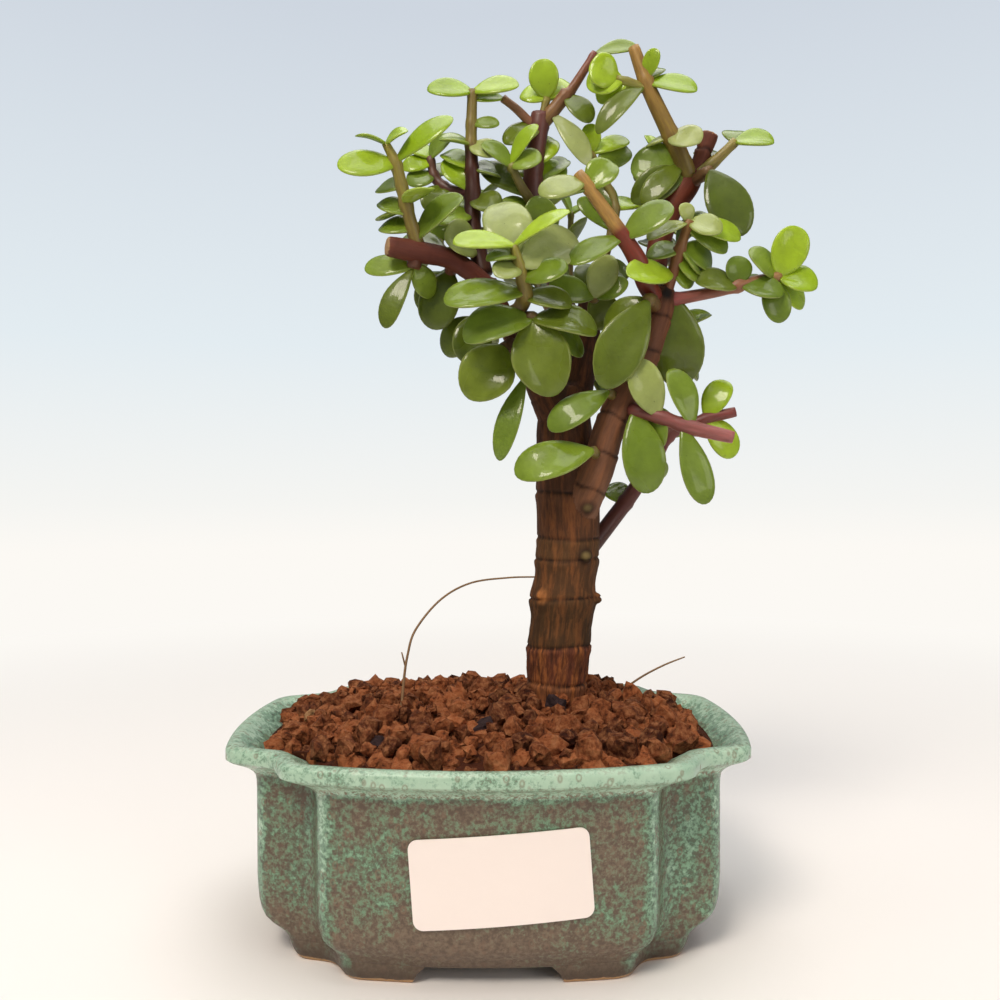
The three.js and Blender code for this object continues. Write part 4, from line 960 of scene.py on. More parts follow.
def add_twig(bundle, route, leaves, looks):
    """A young stem with a swollen node under every pair of leaves."""
    frames = stem_frames(route)
    total = frames[-1][2]
    nodes = sorted({round(leaf[0], 2) for leaf in leaves})

    def length_to(share):
        way = np.array([path_point(route, share * i / TWIG_STEPS)[:3] for i in range(TWIG_STEPS + 1)])
        return float(np.linalg.norm(np.diff(way, axis=0), axis=1).sum())

    spots = [length_to(share) for share in nodes]

    def swell(far):
        return sum(NODE_SWELL * math.exp(-(((far - spot) / NODE_LENGTH) ** 2)) for spot in spots)

    sides = SIDES["twig"]
    points, faces, grains = tube(frames, sides, swell, len(bundle["points"]))
    foot, tip, *turn = linear(looks[0]), linear(looks[1]), *looks[2:]
    per_ring = [far / total for _, _, far, *_ in frames for _ in range(sides)] + [0, 1]
    if turn:
        per_ring = [min(max((share - turn[0]) / TURN_SHARE + 0.5, 0), 1) for share in per_ring]
    bundle["points"].extend(points)
    bundle["faces"].extend(faces)
    bundle["slots"].extend([1] * len(faces))
    bundle["grain"].extend(grains)
    bundle["leaf"].extend([(0, 0, 0)] * len(points))
    bundle["tint"].extend([mixed(foot, tip, share) for share in per_ring])


def bundle_object(name, bundle):
    obj = mesh_object(name, bundle["points"], bundle["faces"])
    obj.data.polygons.foreach_set("material_index", bundle["slots"])
    set_colours(obj, "tint", bundle["tint"])
    set_vectors(obj, "leaf", bundle["leaf"])
    set_vectors(obj, "grain", bundle["grain"])
    return obj


def make_shoot(name, twigs, tones, stem_looks, draw, *materials):
    bundle = new_bundle()
    for number, (twig, letters, looks) in enumerate(zip(twigs, tones, stem_looks)):
        route, leaves = twig["route"], twig["leaves"]
        add_twig(bundle, route, leaves, looks)
        toned = (*zip(leaves, letters), *FILLERS.get((name, number), ()))
        for (share, x, y, z, width, lean), letter in toned:
            base, reach = path_point(route, share)[:3], np.array([x, y, z], dtype=float)
            add_leaf(bundle, base, reach, width, lean, TONES[letter], draw)
    return finished(bundle_object(name + "_leaves", bundle), [name], "leaf", *materials)


def grow_sprig(sprig, draw):
    """The part's rule: opposite pairs of leaves in quarter turns, shorter towards the tip."""
    _, start, end, pairs, longest, first_turn = sprig
    start, end = np.array(start, dtype=float), np.array(end, dtype=float)
    reach = end - start
    axis = reach / np.linalg.norm(reach)
    across = np.cross([0, 0, 1], axis)
    across = across / np.linalg.norm(across)
    over = np.cross(axis, across)
    middle = (start + end) / 2 - over * np.linalg.norm(reach) * SPRIG["bow"]
    leaves = []
    for pair in range(pairs):
        rise = (pair + 1) / pairs
        spread = SPRIG["spread_low"] + (SPRIG["spread_high"] - SPRIG["spread_low"]) * rise
        for half in (0, 1):
            turn = first_turn + 90 * pair + 180 * half + SPRIG["jitter_deg"] * (2 * next(draw) - 1)
            turn = math.radians(turn)
            opening = math.radians(spread + SPRIG["jitter_deg"] * (2 * next(draw) - 1))
            size = longest * (1 - SPRIG["taper"] * rise)
            size *= 1 + SPRIG["size_spread"] * (2 * next(draw) - 1)
            way = across * math.cos(turn) + over * math.sin(turn)
            way = (way * math.cos(opening) + axis * math.sin(opening)) * size
            way[2] -= SPRIG["droop"] * size * (1 - rise)
            share = SPRIG["first_at"] + (SPRIG["last_at"] - SPRIG["first_at"]) * rise
            leaves.append([share, *way, size * SPRIG["width_share"], SPRIG["lean_deg"] * next(draw)])
    radii = (SPRIG["base_radius"], (SPRIG["base_radius"] + SPRIG["tip_radius"]) / 2, SPRIG["tip_radius"])
    route = [[*point, radius] for point, radius in zip((start, middle, end), radii)]
    return {"route": route, "leaves": leaves}


# ---- trunk and limbs
# colour at the foot and at the tip of each woody stem, how much rust shows between its ridges,
# how coarse its bark is and how deep its ring scars are
WOOD_LOOKS = {
    "trunk": ("#4c2c1a", "#4c2c1a", 0.3, 0.4, 1.0),
    "centre": ("#3f2416", "#3f2416", 0.3, 0.3, 0.5),
    "left": ("#4a2c1b", "#5b3826", 0.3, 0.35, 0.6),
    "stump_left": ("#5c2a22", "#6b3a2e", 0.1, 0.15, 0.2),
    "right": ("#80583f", "#6e4430", 0.25, 0.25, 1.2),
    "right_back": ("#6b2f1c", "#6b2f1c", 0.1, 0.15, 0.3),
    "stump_right": ("#613428", "#6a3a2c", 0.1, 0.3, 1.3),
    "back": ("#4a2e1c", "#4a2e1c", 0.4, 0.5, 0.5),
}
# coloured wounds on the bark, as (x, y, z, radius) and colour
WOUNDS = (
    ((46.2, -7, 161.6, 3.0), "#120b0a"),
    ((13.4, -5, 83.4, 2.8), "#b0703c"),
    ((25.6, -6.4, 106.4, 2.9), "#26160e"),
    ((25.6, -7, 106.4, 1.5), "#75623c"),
    ((25.2, -6.6, 93.9, 3.3), "#26160e"),
    ((25.2, -7.4, 93.9, 1.8), "#7d6a40"),
)
# colours of the sawn ends
SAWN = {
    "stump_left": "#b59068", "stump_right": "#a8805c", "right": "#3a241c", "centre": "#4a2c20",
    "back": "#8a6a4c",
}
ROOTLET_SIDES, ROOTLET_COLOUR, ROOTLET_COARSENESS = 8, "#8f7050", 0.2
# dry rootlets that stand out of the soil, as routes of (x, y, z, radius)
ROOTLETS = (
    [[-22.7, -8, 53.5, 0.4], [-22.1, -6, 61.9, 0.35], [-21.2, -5, 68.2, 0.32], [-19.2, -4, 74.6, 0.3],
     [-12.8, -2, 82.2, 0.28], [-4.9, 0, 86.4, 0.26], [5.1, 2, 87.6, 0.24], [13.5, 2, 87.8, 0.22]],
    [[-21.7, -5, 64.8, 0.26], [-22.7, -5.4, 69, 0.18]],
    [[36.5, 18, 51, 0.4], [38, 18, 54, 0.34], [43, 18, 57.7, 0.3], [49.5, 18, 61.1, 0.26],
    [55.4, 18, 63.4, 0.2]],
)


def scar(off, collar, collar_at, collar_width, cut, cut_width):
    """Height of a ring scar's skin at a distance above its cut."""
    raised = collar * np.exp(-(((off + collar_at) / collar_width) ** 2))
    return raised - cut * np.exp(-((off / cut_width) ** 2))


def fused_wood(skeleton):
    """Stems and buds fused into one even skin."""
    points, faces = [], []
    for name, frames in skeleton.items():
        sides = SIDES["trunk" if name == "trunk" else "limb"]
        more, quads, _ = tube(frames, sides, first=len(points))
        points.extend(more)
        faces.extend(quads)
    for x, y, z, radius in BUDS:
        bud = bmesh.new()
        bmesh.ops.create_icosphere(bud, subdivisions=3, radius=radius)
        first = len(points)
        points.extend(np.array([x, y, z]) + np.array(v.co) for v in bud.verts)
        faces.extend(tuple(first + v.index for v in face.verts) for face in bud.faces)
        bud.free()
    rough = mesh_object("woody_stems", points, faces)
    remesh = rough.modifiers.new("fuse", "REMESH")
    remesh.mode = "VOXEL"
    remesh.voxel_size = VOXEL * MM
    smooth = rough.modifiers.new("soften", "SMOOTH")
    smooth.iterations = 2
    return baked(rough)


def of_vertices(obj, name):
    """The place or the normal of every vertex."""
    values = np.empty(len(obj.data.vertices) * 3)
    obj.data.vertices.foreach_get(name, values)
    return values.reshape(-1, 3)


def along_stem(places, frames):
    """Each place's gap to a stem's skin, length along it, turn, reach from its middle and its radius."""
    columns = (np.array([frame[i] for frame in frames]) for i in range(6))
    centres, radii, fars, across, side, tangents = columns
    pick = np.linalg.norm(places[:, None] - centres[None], axis=2).argmin(axis=1)
    away = places - centres[pick]
    forward = (away * tangents[pick]).sum(axis=1)
    flat = away - tangents[pick] * forward[:, None]
    reach = np.linalg.norm(flat, axis=1)
    far = fars[pick] + forward
    beyond = np.maximum(np.maximum(-far, far - fars[-1]), 0)
    over = reach - radii[pick]
    gap = np.hypot(np.maximum(over, 0), beyond) + np.minimum(over, 0) * UNDER_SKIN
    turn = np.arctan2((flat * side[pick]).sum(axis=1), (flat * across[pick]).sum(axis=1))
    return gap, far, turn, reach, radii[pick]


def stem_bark(name, length, places, far, turn, reach, radius):
    """Colour, coarseness and scar relief of one stem's bark at each place."""
    foot, tip, rust, coarseness, scarring = WOOD_LOOKS[name]
    share = np.clip(far / length, 0, 1)[:, None]
    colour = np.array(linear(foot)) * (1 - share) + np.array(linear(tip)) * share
    colour[:, 3] = rust
    ring, groove = np.zeros(len(far)), np.zeros(len(far))
    grade = np.full(len(far), coarseness)
    if name == "trunk":
        for z, hue, segment_rust, segment_grade in SEGMENTS:
            off = places[:, 2] - z - SCAR_TILT * np.sin(turn + z) - SCAR_RIPPLE * np.sin(turn * 3 + z)
            colour[off > 0] = (*linear(hue)[:3], segment_rust)
            grade[off > 0] = segment_grade
            ring += scar(off, *TRUNK_SCAR)
            groove += np.exp(-((off / TRUNK_GROOVE) ** 2))
    else:
        for k in range(1, int(length / LIMB_SCAR_SPACING) + 1):
            off = far - k * LIMB_SCAR_SPACING - LIMB_RIPPLE * np.sin(turn * 3 + k)
            ring += scarring * scar(off, *LIMB_SCAR)
            groove += LIMB_GROOVE_SHARE * scarring * np.exp(-((off / LIMB_GROOVE) ** 2))
    colour[:, :3] *= (1 - SCAR_SHADE * np.clip(groove, 0, 1))[:, None]
    if name in SAWN:
        sawn = (far > length - SAWN_DEPTH) & (reach < radius * SAWN_REACH)
        colour[sawn] = (*linear(SAWN[name])[:3], 0)
    return colour, grade, ring


def ridge(place):
    """Height of the bark's fibres at a place of the grain, broad ones and fine ones over them."""
    broad, fine = (noise.noise([at * often for at, often in zip(place, fibres)])
                   for fibres in (BROAD_FIBRES, FINE_FIBRES))
    return broad + FINE_SHARE * fine


def make_rootlets():
    points, faces, grain = [], [], []
    for route in ROOTLETS:
        more, quads, grains = tube(stem_frames(route), ROOTLET_SIDES, first=len(points))
        points.extend(more)
        faces.extend(quads)
        grain.extend(grains)
    rootlets = mesh_object("rootlets", points, faces)
    set_vectors(rootlets, "grain", grain)
    set_colours(rootlets, "tint", [(*linear(ROOTLET_COLOUR)[:3], 0)] * len(points))
    set_values(rootlets, "coarse", [ROOTLET_COARSENESS] * len(points))
    return rootlets


def make_wood(material):
    """Trunk and limbs as one skin, with bark ridges, ring scars, wounds and sawn ends."""
    stems = {"trunk": TRUNK, **LIMBS}
    skeleton = {name: stem_frames(route) for name, route in stems.items()}
    wood = fused_wood(skeleton)
    places = of_vertices(wood, "co") / MM - np.array(SHIFT)
    normals = of_vertices(wood, "normal")
    count = len(places)
    nearest = np.full(count, np.inf)
    grain, tint = np.zeros((count, 3)), np.zeros((count, 4))
    height, coarse = np.zeros(count), np.zeros(count)
    for name, frames in skeleton.items():
        gap, far, turn, reach, radius = along_stem(places, frames)
        mine = gap < nearest
        nearest[mine] = gap[mine]
        own = np.stack([radius * np.cos(turn), radius * np.sin(turn), far / GRAIN_STRETCH], axis=1)
        colour, grade, ring = stem_bark(name, frames[-1][2], places, far, turn, reach, radius)
        for kept, new in ((grain, own), (tint, colour), (height, ring), (coarse, grade)):
            kept[mine] = new[mine]
    height += BARK_RIDGE * coarse * np.array([ridge(place) for place in grain])
    for (x, y, z, radius), colour in WOUNDS:
        away = np.linalg.norm(places - (x, y, z), axis=1)
        share = np.clip(WOUND_EDGE - WOUND_EDGE * away / radius, 0, 1)[:, None]
        tint = tint * (1 - share) + np.array((*linear(colour)[:3], 0)) * share
    moved = places + normals * height[:, None]
    wood.data.vertices.foreach_set("co", ((moved + np.array(SHIFT)) * MM).ravel())
    wood.data.update()
    rootlets = make_rootlets()
    set_vectors(wood, "grain", grain)
    set_colours(wood, "tint", tint)
    set_values(wood, "coarse", coarse)
    wood = joined(wood, rootlets)
    wood.data.shade_smooth()
    return finished(wood, ["trunk_and_limbs"], "bark", material)


def joined(*objects):
    """The objects' meshes as one object, the first."""
    bpy.ops.object.select_all(action="DESELECT")
    for obj in objects:
        obj.select_set(True)
    bpy.context.view_layer.objects.active = objects[0]
    bpy.ops.object.join()
    return objects[0]


# ---- the bowl
def plan_at(inset, level):
    """Plan part of the way from the body to the foot (below 0) or the rim (above 0)."""
    plan = {}
    other = FOOT_PLAN if level < 0 else RIM_PLAN
    for key, at in BODY_PLAN.items():
        x, y = mixed(at, other[key], abs(level))
        along_x = LESS_INSET * inset if key == "front_end" else inset
        along_y = LESS_INSET * inset if key == "side_end" else inset
        plan[key] = np.array([x - along_x, y - along_y])
    return plan


def quarter_plan(plan):
    half, a, n, s = plan["half"], plan["front_end"], plan["notch"], plan["side_end"]

    def front_bow(x):
        return np.array([x, half[1] - (half[1] - a[1]) * (x / a[0]) ** 2])

    def side_bow(y):
        return np.array([half[0] - (half[0] - s[0]) * (y / s[1]) ** 2, y])

    def bend(start, corner, end):
        shares = [i / BEND_STEPS for i in range(BEND_STEPS + 1)]
        return [start * (1 - t) ** 2 + corner * 2 * t * (1 - t) + end * t * t for t in shares]

    panels = [i / PANEL_STEPS for i in range(PANEL_STEPS)]
    return [
        *(front_bow(a[0] * CORNER["panel_end"] * share) for share in panels),
        *bend(front_bow(a[0] * CORNER["panel_end"]), a, a + (n - a) * CORNER["notch_in"]),
        *bend(a + (n - a) * CORNER["notch_out"], n, n + (s - n) * CORNER["side_in"]),
        *bend(n + (s - n) * CORNER["side_out"], s, side_bow(s[1] * CORNER["side_end"])),
        *(side_bow(s[1] * CORNER["side_end"] * (1 - share)) for share in panels[1:]),
        side_bow(0),
    ]


def plan_ring(height, inset, level):
    """The whole plan at one height, anticlockwise from the front."""
    quarter = quarter_plan(plan_at(inset, level))

    def turned(points, x, y):
        return [(x * p[0], y * p[1], height) for p in points]

    return [*turned(quarter, 1, -1), *turned(quarter[-2::-1], 1, 1), *turned(quarter[1:], -1, 1),
            *turned(quarter[-2:0:-1], -1, -1)]


def loft(rings, first=0):
    """Skin over rings with the same number of points, closed by flat ends."""
    count = len(rings[0])
    faces = [
        (first + i * count + k, first + i * count + (k + 1) % count,
         first + (i + 1) * count + (k + 1) % count, first + (i + 1) * count + k)
        for i in range(len(rings) - 1) for k in range(count)
    ]
    last = first + (len(rings) - 1) * count
    faces.append(tuple(first + k for k in reversed(range(count))))
    faces.append(tuple(last + k for k in range(count)))
    return [point for ring in rings for point in ring], faces


def glaze_run(x, y, z, inward):
    """How thick the glaze lies: about 1 on the lip and the ribs of the corners, 0 on the panels."""
    heights = [wall[0] for wall in OUTER_WALL]
    level = float(np.interp(z, heights, [wall[2] for wall in OUTER_WALL]))
    plan = plan_at(0, level)

    def distance(key):
        return np.hypot(abs(x) - plan[key][0], abs(y) - plan[key][1])

    rib = math.exp(-((min(distance("front_end"), distance("side_end")) / RUN["rib_reach"]) ** 2))
    notch = RUN["notch"] * math.exp(-((distance("notch") / RUN["notch_reach"]) ** 2))
    thinned = float(np.interp(z, RUN["inner_wall"], RUN["inner_loss"])) * min(1.0, RUN["inward"] * inward)
    lip = float(np.interp(z, RUN["lip_from"], (0, RUN["lip"]))) * (1 - thinned)
    within = all(abs(at) < half - RUN["inside_from"] for at, half in zip((x, y), plan["half"]))
    inside = RUN["inside"] if within and z > FLOOR_TOP else 0
    low = float(np.interp(z, RUN["low_at"], RUN["low"]))
    return max(rib * RUN["rib"], notch, lip, inside) + low


def foot_outline(x_sign, y_sign, inset, spread, level):
    """One foot's plan: the corner of the base between the two arches, as a hooked band."""
    def standing(plan, base):
        """The points between the arches, the same ones on every level."""
        low_x, low_y = FOOT["arch_x"], FOOT["arch_y"] + FOOT["side_clear"]
        pairs = zip(quarter_plan(plan), quarter_plan(base))
        return [p for p, below in pairs if below[0] > low_x and below[1] > low_y]

    outer = standing(plan_at(inset, level), plan_at(0, -1))
    inner = standing(plan_at(FOOT["inner"] - inset, -1), plan_at(FOOT["inner"], -1))

    def front_y(points):
        return np.array([FOOT["arch_x"] - spread, points[0][1]])

    def side_x(points):
        return np.array([points[-1][0], FOOT["arch_y"] - spread])

    outline = [front_y(outer), *outer, side_x(outer), side_x(inner), *reversed(inner), front_y(inner)]
    outline = [(x_sign * p[0], y_sign * p[1]) for p in outline]
    return outline if x_sign * y_sign < 0 else outline[::-1]


def drilled(shell):
    """The bowl with its drain holes cut through the floor."""
    drills = []
    for side in (-1, 1):
        turns = [2 * math.pi * k / DRAIN["sides"] for k in range(DRAIN["sides"])]
        ring = [(side * DRAIN["x"] + DRAIN["radius"] * math.cos(turn), DRAIN["radius"] * math.sin(turn))
                for turn in turns]
        drill = mesh_object("drill", *loft([[(x, y, z) for x, y in ring] for z in (-1, 2 * FLOOR_TOP)]))
        cut = shell.modifiers.new("drain", "BOOLEAN")
        cut.operation = "DIFFERENCE"
        cut.solver = "EXACT"
        cut.object = drill
        drills.append(drill)
    bowl = baked(shell)
    for drill in drills:
        bpy.data.objects.remove(drill)
    return bowl


def make_feet():
    points, faces = [], []
    for x_sign in (-1, 1):
        for y_sign in (-1, 1):
            rings = [[(x, y, z) for x, y in foot_outline(x_sign, y_sign, inset, spread, level)]
                     for z, inset, spread, level in FOOT_LEVELS]
            more, quads = loft(rings, len(points))
            points.extend(more)
            faces.extend(quads)
    return mesh_object("feet", points, faces)


def make_bowl(material):
    """Walls, floor, drain holes and feet as one fired piece."""
    rings = [plan_ring(*wall) for wall in (*OUTER_WALL, *INNER_WALL)]
    bowl = joined(drilled(mesh_object("bowl", *loft(rings))), make_feet())
    bowl.data.shade_smooth()
    sharpen(bowl, EDGE_ANGLE["bowl"])
    runs = []
    for v in bowl.data.vertices:
        x, y, z = np.array(v.co) / MM - np.array(SHIFT)
        inward = -(x * v.normal.x + y * v.normal.y) / max(1.0, math.hypot(x, y))
        runs.append(glaze_run(x, y, z, max(0.0, inward)))
    set_values(bowl, "run", runs)
    return finished(bowl, ["pot"], "glaze", material)


def sharpen(obj, degrees):
    """Marks edges sharper than the angle, so that they shade as edges."""
    obj.data.set_sharp_from_angle(angle=math.radians(degrees))


# ---- the soil
def soil_top(x, y):
    flat_x, flat_y = (x / SOIL["span_x"]) ** 2, (y / SOIL["span_y"]) ** 2
    return SOIL["edge"] + SOIL["crown"] * (1 - flat_x) * (1 - flat_y)


def drawn(tree, kind, inputs):
    """A random value of its own for each granule."""
    made = add(tree, "FunctionNodeRandomValue", inputs, data_type=kind)
    return next(output for output in made.outputs if output.enabled)


def granule_shapes(tree):
    """Balls warped by noise into different lumps, as instances to pick from."""
    shapes = add(tree, "GeometryNodeJoinGeometry")
    for variant in range(GRANULE["variants"]):
        ball = add(tree, "GeometryNodeMeshIcoSphere", {"Radius": 0.5, "Subdivisions": 2})
        place = add(tree, "GeometryNodeInputPosition").outputs[0]
        warp = add(tree, "ShaderNodeTexNoise",
                   {"Vector": place, "W": GRANULE["warp_step"] * variant, "Scale": GRANULE["warp_scale"],
                    "Detail": 2}, noise_dimensions="4D")
        centred = add(tree, "ShaderNodeVectorMath", {0: warp.outputs["Color"], 1: (0.5, 0.5, 0.5)},
                      operation="SUBTRACT").outputs[0]
        offset = add(tree, "ShaderNodeVectorMath", {0: centred, "Scale": GRANULE["warp"]},
                     operation="SCALE").outputs[0]
        lump = add(tree, "GeometryNodeSetPosition", {"Geometry": ball.outputs["Mesh"], "Offset": offset})
        piece = add(tree, "GeometryNodeGeometryToInstance", {0: lump.outputs[0]})
        tree.links.new(piece.outputs[0], shapes.inputs[0])
    return shapes.outputs[0]


def granule_layer(tree, given, shapes, top, number, gap, lift):
    """One layer of tumbled lumps of many sizes, scattered over the top of the bed."""
    seed = calc(tree, "ADD", given["Seed"], GRANULE["seed_step"] * number)
    density = calc(tree, "DIVIDE", GRANULE["crowding"], calc(tree, "MULTIPLY", gap, gap))
    spread = add(tree, "GeometryNodeDistributePointsOnFaces",
                 {"Mesh": given["Geometry"], "Selection": top, "Distance Min": gap,
                  "Density Max": density, "Seed": seed}, distribute_method="POISSON")
    drop = calc(tree, "SUBTRACT", lift, given["Sink"])
    shift = add(tree, "ShaderNodeCombineXYZ", {"Z": drop}).outputs[0]
    settled = add(tree, "GeometryNodeSetPosition", {"Geometry": spread.outputs["Points"], "Offset": shift})
    tumble = drawn(tree, "FLOAT_VECTOR", {"Max": (FULL_TURN,) * 3, "Seed": seed})
    even = drawn(tree, "FLOAT", {"Min": 0.0, "Max": 1.0, "Seed": seed})
    mostly_small = calc(tree, "POWER", even, GRANULE["mostly_small"])
    size = ranged(tree, mostly_small, 0.0, 1.0, given["Smallest"], given["Largest"])
    stretch = drawn(tree, "FLOAT_VECTOR",
                    {"Min": GRANULE["flattest"], "Max": GRANULE["longest"], "Seed": seed})
    scale = add(tree, "ShaderNodeVectorMath", {0: stretch, "Scale": size}, operation="SCALE").outputs[0]
    return add(tree, "GeometryNodeInstanceOnPoints",
               {"Points": settled.outputs[0], "Instance": shapes, "Pick Instance": True,
                "Rotation": tumble, "Scale": scale}).outputs[0]


def granule_tree():
    """Scatters tumbled lumps over the faces marked as the top of the bed."""
    tree = bpy.data.node_groups.new("clay_granules", "GeometryNodeTree")
    socket = {}
    lengths = [(name, "Float") for name in GRANULE_LENGTHS]
    for name, kind in (("Geometry", "Geometry"), *lengths, ("Seed", "Int"), ("Material", "Material")):
        socket[name] = tree.interface.new_socket(name, in_out="INPUT", socket_type="NodeSocket" + kind)
    tree.interface.new_socket("Geometry", in_out="OUTPUT", socket_type="NodeSocketGeometry")
    given = add(tree, "NodeGroupInput").outputs
    shapes = granule_shapes(tree)
    marked = add(tree, "GeometryNodeInputNamedAttribute", {"Name": "top"}, data_type="BOOLEAN")
    top = marked.outputs["Attribute"]
    layers = add(tree, "GeometryNodeJoinGeometry")
    gaps_and_lifts = ((given["Spacing"], 0.0), (given["Upper spacing"], given["Upper lift"]))
    for number, (gap, lift) in enumerate(gaps_and_lifts):
        lumps = granule_layer(tree, given, shapes, top, number, gap, lift)
        tree.links.new(lumps, layers.inputs[0])
    tone = drawn(tree, "FLOAT", {"Seed": given["Seed"]})
    stored = add(tree, "GeometryNodeStoreNamedAttribute",
                 {"Geometry": layers.outputs[0], "Name": "lump", "Value": tone},
                 data_type="FLOAT", domain="INSTANCE")
    real = add(tree, "GeometryNodeRealizeInstances", {"Geometry": stored.outputs[0]})
    both = add(tree, "GeometryNodeJoinGeometry")
    tree.links.new(real.outputs[0], both.inputs[0])
    tree.links.new(given["Geometry"], both.inputs[0])
    dressed = add(tree, "GeometryNodeSetMaterial",
                  {"Geometry": both.outputs[0], "Material": given["Material"]})
    add(tree, "NodeGroupOutput", {"Geometry": dressed.outputs[0]})
    return tree, socket


def make_soil(material):
    """A domed bed that fills the bowl, with granules tumbled over its top."""
    walls = [(height, inset + GAP, level) for height, inset, level in reversed(INNER_WALL[2:])]
    floor_height, *floor_wall = walls[0]
    rings = [plan_ring(floor_height + GAP, *floor_wall), *(plan_ring(*wall) for wall in walls[1:])]
    edge = plan_ring(SOIL["rim_height"], INNER_WALL[2][1] + GAP, INNER_WALL[2][2])
    for share in SOIL_RINGS:
        ring = [(x * share, y * share) for x, y, _ in edge]
        rings.append([(x, y, soil_top(x, y) - GRANULE["bed"]) for x, y in ring])
    points, faces = loft(rings)
    bed = mesh_object("clay_granules", points, faces)
    count = len(rings[0])
    first_top = len(walls) * count
    top = bed.data.attributes.new("top", "BOOLEAN", "FACE")
    top.data.foreach_set("value", [min(polygon.vertices) >= first_top for polygon in bed.data.polygons])
    # the bed's tone gives it the dark brown that paints shade between the nuggets
    set_values(bed, "lump", [GRANULE["shaded_bed_tone"]] * len(points))
    tree, socket = granule_tree()
    scatter = bed.modifiers.new("granules", "NODES")
    scatter.node_group = tree
    for name, key in GRANULE_LENGTHS.items():
        scatter[socket[name].identifier] = GRANULE[key] * MM
    scatter[socket["Seed"].identifier] = GRANULE["seed"]
    scatter[socket["Material"].identifier] = material
    soil = baked(bed)
    soil.data.shade_flat()
    return finished(soil, ["soil"], "soil")


# ---- label and drain nets
def make_label(material):
    """Blank sticker with round corners that follows the bow of the front panel."""
    corner, thick = LABEL["corner"], LABEL["thick"]
    half_width, half_height = LABEL["width"] / 2, LABEL["height"] / 2
    straight = half_width - corner
    bend, run = LABEL_STEPS["bend"], LABEL_STEPS["run"]
    round_end = [straight + corner * math.sin(math.pi / 2 * i / bend) for i in range(bend + 1)]
    middle = [straight * (2 * i / run - 1) for i in range(1, run)]
    stations = [*(-x for x in reversed(round_end)), *middle, *round_end]
    tilt = math.radians(LABEL["tilt"])
    bow = (BODY_PLAN["half"][1] - BODY_PLAN["front_end"][1]) / BODY_PLAN["front_end"][0] ** 2

    def point(across, up, lift):
        x = LABEL["x"] + across * math.cos(tilt) - up * math.sin(tilt)
        z = LABEL["z"] + across * math.sin(tilt) + up * math.cos(tilt)
        return (x, bow * x * x - BODY_PLAN["half"][1] - GAP - lift, z)

    rings = []
    for across in stations:
        past = max(abs(across) - straight, 0)
        up = half_height - corner + math.sqrt(max(corner**2 - past**2, 0))
        corners = ((-up, 0), (up, 0), (up, thick), (-up, thick))
        rings.append([point(across, *corner_at) for corner_at in corners])
    label = mesh_object("blank_sticker", *loft(rings))
    sharpen(label, EDGE_ANGLE["label"])
    return finished(label, ["label"], "paper", material)


def make_net(node_name, side, material):
    """Square of woven plastic bars over a drain hole."""
    half, bar = NET["size"] / 2, NET["bar"] / 2
    low, high = FLOOR_TOP + GAP, FLOOR_TOP + GAP + NET["thick"]
    points, faces = [], []
    places = [half * (2 * i / (NET["bars"] - 1) - 1) * (1 - bar / half) for i in range(NET["bars"])]
    for place in places:
        for along_x in (True, False):
            cross = (place - bar, place + bar)
            x_range, y_range = ((-half, half), cross) if along_x else (cross, (-half, half))
            z_range = (low, high - NET["lap"]) if along_x else (low + NET["lap"], high)
            ring = [(x_range[i], y_range[j]) for i, j in ((0, 0), (1, 0), (1, 1), (0, 1))]
            levels = [[(side * DRAIN["x"] + x, y, z) for x, y in ring] for z in z_range]
            more, quads = loft(levels, len(points))
            points.extend(more)
            faces.extend(quads)
    net = mesh_object("mesh_over_" + node_name, points, faces, smooth=False)
    return finished(net, [node_name], "net", material)


# ---- build
leaf_skin = jade_leaf()
stem_skin = green_stem()
leaf_draw = seeded_draw(LEAF["seed"])
for shoot, twigs in SHOOTS.items():
    make_shoot(shoot, twigs, LEAF_TONES[shoot], STEM_LOOKS[shoot], leaf_draw, leaf_skin, stem_skin)
sprig_draw = seeded_draw(SPRIG["seed"])
for row in SPRIGS:
    twigs = [grow_sprig(row, sprig_draw)]
    make_shoot(row[0], twigs, [SPRIG_TONES], [SPRIG_STEM_LOOK], leaf_draw, leaf_skin, stem_skin)
make_wood(bark())
make_bowl(glaze())
make_soil(fired_clay())
make_label(plain("coated_paper", "#f8ebe4", 0.5))
black_net = plain("moulded_polyethylene", "#2c2d2e", 0.45)
make_net("drain_net_left", -1, black_net)
make_net("drain_net_right", 1, black_net)

# ---- floor, lights and camera
STUDIO = {
    "inner": (0.3, 0.7), "floor": 1.6, "bend": 0.5, "top": 3.2, "steps": 16, "sides": 96,
    "lit_from": 0.08, "lit_to": 0.6, "thrown": 0.3,
}
# colours of the paper's glow by height, in metres: painted light for the lit studio paper
BACKDROP = ((0.0, "#fcf9f4"), (0.08, "#f5f5f2"), (0.45, "#e3ecf1"), (1.25, "#ced6e0"))


# area lights: name, place in metres, size, power in watts and colour, all aimed at the middle of the plant
LIGHTS = (
    ("key", (-0.35, -0.7, 0.95), (0.4, 0.4), 8.5, "#fff4e6"),
    ("fill", (0.7, -0.8, 0.35), (0.5, 0.5), 2.2, "#fff6ee"),
    ("top", (0.05, 0.1, 1.0), (0.8, 0.8), 5, "#fcfaf8"),
)
AIM = (0, 0, 0.11)
SKY = {"colour": "#f4f2ee", "strength": 0.6}


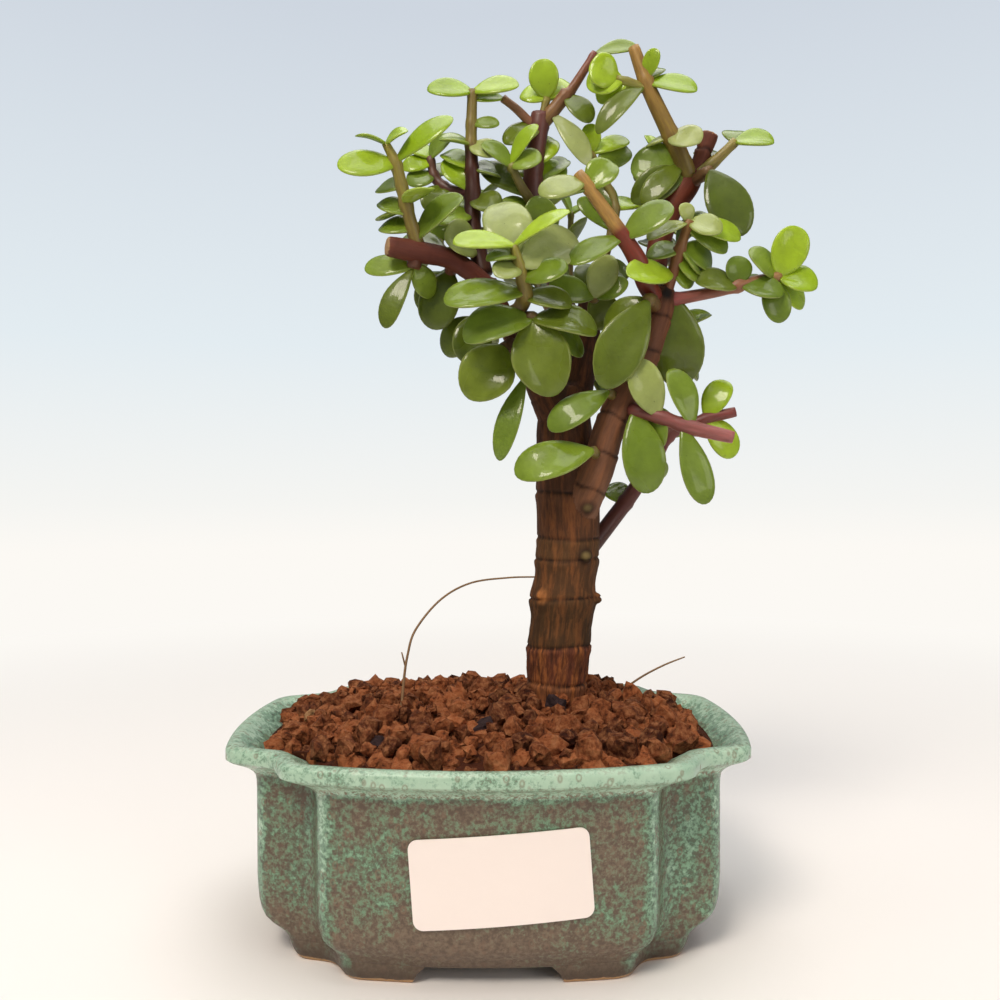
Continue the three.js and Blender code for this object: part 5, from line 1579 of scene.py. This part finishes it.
def make_floor():
    """A pale round sweep: floor that bends up into a wall on every side."""
    line = [(0, 0), *((radius, 0) for radius in STUDIO["inner"])]
    flat, bend = STUDIO["floor"], STUDIO["bend"]
    for i in range(STUDIO["steps"] + 1):
        turn = math.pi / 2 * i / STUDIO["steps"]
        line.append((flat + bend * math.sin(turn), bend * (1 - math.cos(turn))))
    line.append((line[-1][0], STUDIO["top"]))
    sides = STUDIO["sides"]
    verts = [(0, 0, 0)] + [
        (radius * math.cos(2 * math.pi * k / sides), radius * math.sin(2 * math.pi * k / sides), z)
        for radius, z in line[1:] for k in range(sides)]
    faces = [(0, 1 + k, 1 + (k + 1) % sides) for k in range(sides)]
    for i in range(len(line) - 2):
        first = 1 + i * sides
        faces.extend((first + k, first + sides + k, first + sides + (k + 1) % sides, first + (k + 1) % sides)
                     for k in range(sides))
    mesh = bpy.data.meshes.new("floor")
    mesh.from_pydata(verts, [], faces)
    mesh.shade_smooth()
    floor = bpy.data.objects.new("floor", mesh)
    bpy.context.scene.collection.objects.link(floor)
    material, tree = new_material("backdrop_paper_with_painted_glow")
    place = add(tree, "ShaderNodeTexCoord").outputs["Object"]
    parts = add(tree, "ShaderNodeSeparateXYZ", {0: place})
    ramp = add(tree, "ShaderNodeValToRGB", {0: calc(tree, "DIVIDE", parts.outputs["Z"], BACKDROP[-1][0])})
    stops = ramp.color_ramp.elements
    for number, (z, colour) in enumerate(BACKDROP):
        stop = stops[number] if number < 2 else stops.new(1)
        stop.position = z / BACKDROP[-1][0]
        stop.color = linear(colour)
    flat = add(tree, "ShaderNodeVectorMath", {0: place, 1: (1, 1, 0)}, operation="MULTIPLY")
    away = add(tree, "ShaderNodeVectorMath", {0: flat.outputs[0]}, operation="LENGTH")
    share = add(tree, "ShaderNodeMapRange",
                {"Value": away.outputs["Value"], "From Min": STUDIO["lit_from"],
                 "From Max": STUDIO["lit_to"]}, interpolation_type="SMOOTHSTEP")
    # seen directly the paper glows at full strength, painted light graded by height; it throws only a little
    # of that glow on the object
    seen = add(tree, "ShaderNodeLightPath").outputs["Is Camera Ray"]
    strength = ranged(tree, seen, 0.0, 1.0, STUDIO["thrown"], 1.0)
    glow = add(tree, "ShaderNodeEmission", {"Color": ramp.outputs["Color"], "Strength": strength})
    paper = add(tree, "ShaderNodeBsdfDiffuse", {"Color": linear("#f5f1ee")})
    both = add(tree, "ShaderNodeMixShader", {0: share.outputs[0], 1: paper.outputs[0], 2: glow.outputs[0]})
    add(tree, "ShaderNodeOutputMaterial", {"Surface": both.outputs[0]})
    floor.data.materials.append(material)
    return floor


def make_light(name, place, size, power, colour):
    data = bpy.data.lights.new(name, "AREA")
    data.shape = "RECTANGLE"
    data.size, data.size_y = size
    data.energy = power
    data.color = linear(colour)[:3]
    light = bpy.data.objects.new(name, data)
    light.location = place
    way = Vector(AIM) - Vector(place)
    light.rotation_euler = way.to_track_quat("-Z", "Y").to_euler()
    bpy.context.scene.collection.objects.link(light)
    return light


def make_camera():
    data = bpy.data.cameras.new("camera")
    data.lens, data.sensor_width = CAMERA["lens"], CAMERA["sensor"]
    data.clip_start = 0.01
    camera = bpy.data.objects.new("camera", data)
    camera.location = to_row((CAMERA["x"], CAMERA["y"], CAMERA["height"]))
    look = Euler((math.radians(90 - CAMERA["down"]), 0, 0)).to_matrix()
    turn = Euler((0, 0, math.radians(CAMERA["roll"]))).to_matrix()
    camera.rotation_euler = (look @ turn).to_euler()
    bpy.context.scene.collection.objects.link(camera)
    bpy.context.scene.camera = camera


floor = make_floor()
lights = [make_light(*row) for row in LIGHTS]
world = bpy.data.worlds.new("studio")
world.use_nodes = True
backdrop = world.node_tree.nodes["Background"]
backdrop.inputs["Color"].default_value = linear(SKY["colour"])
backdrop.inputs["Strength"].default_value = SKY["strength"]
bpy.context.scene.world = world
make_camera()
bpy.context.scene.view_settings.view_transform = "Standard"
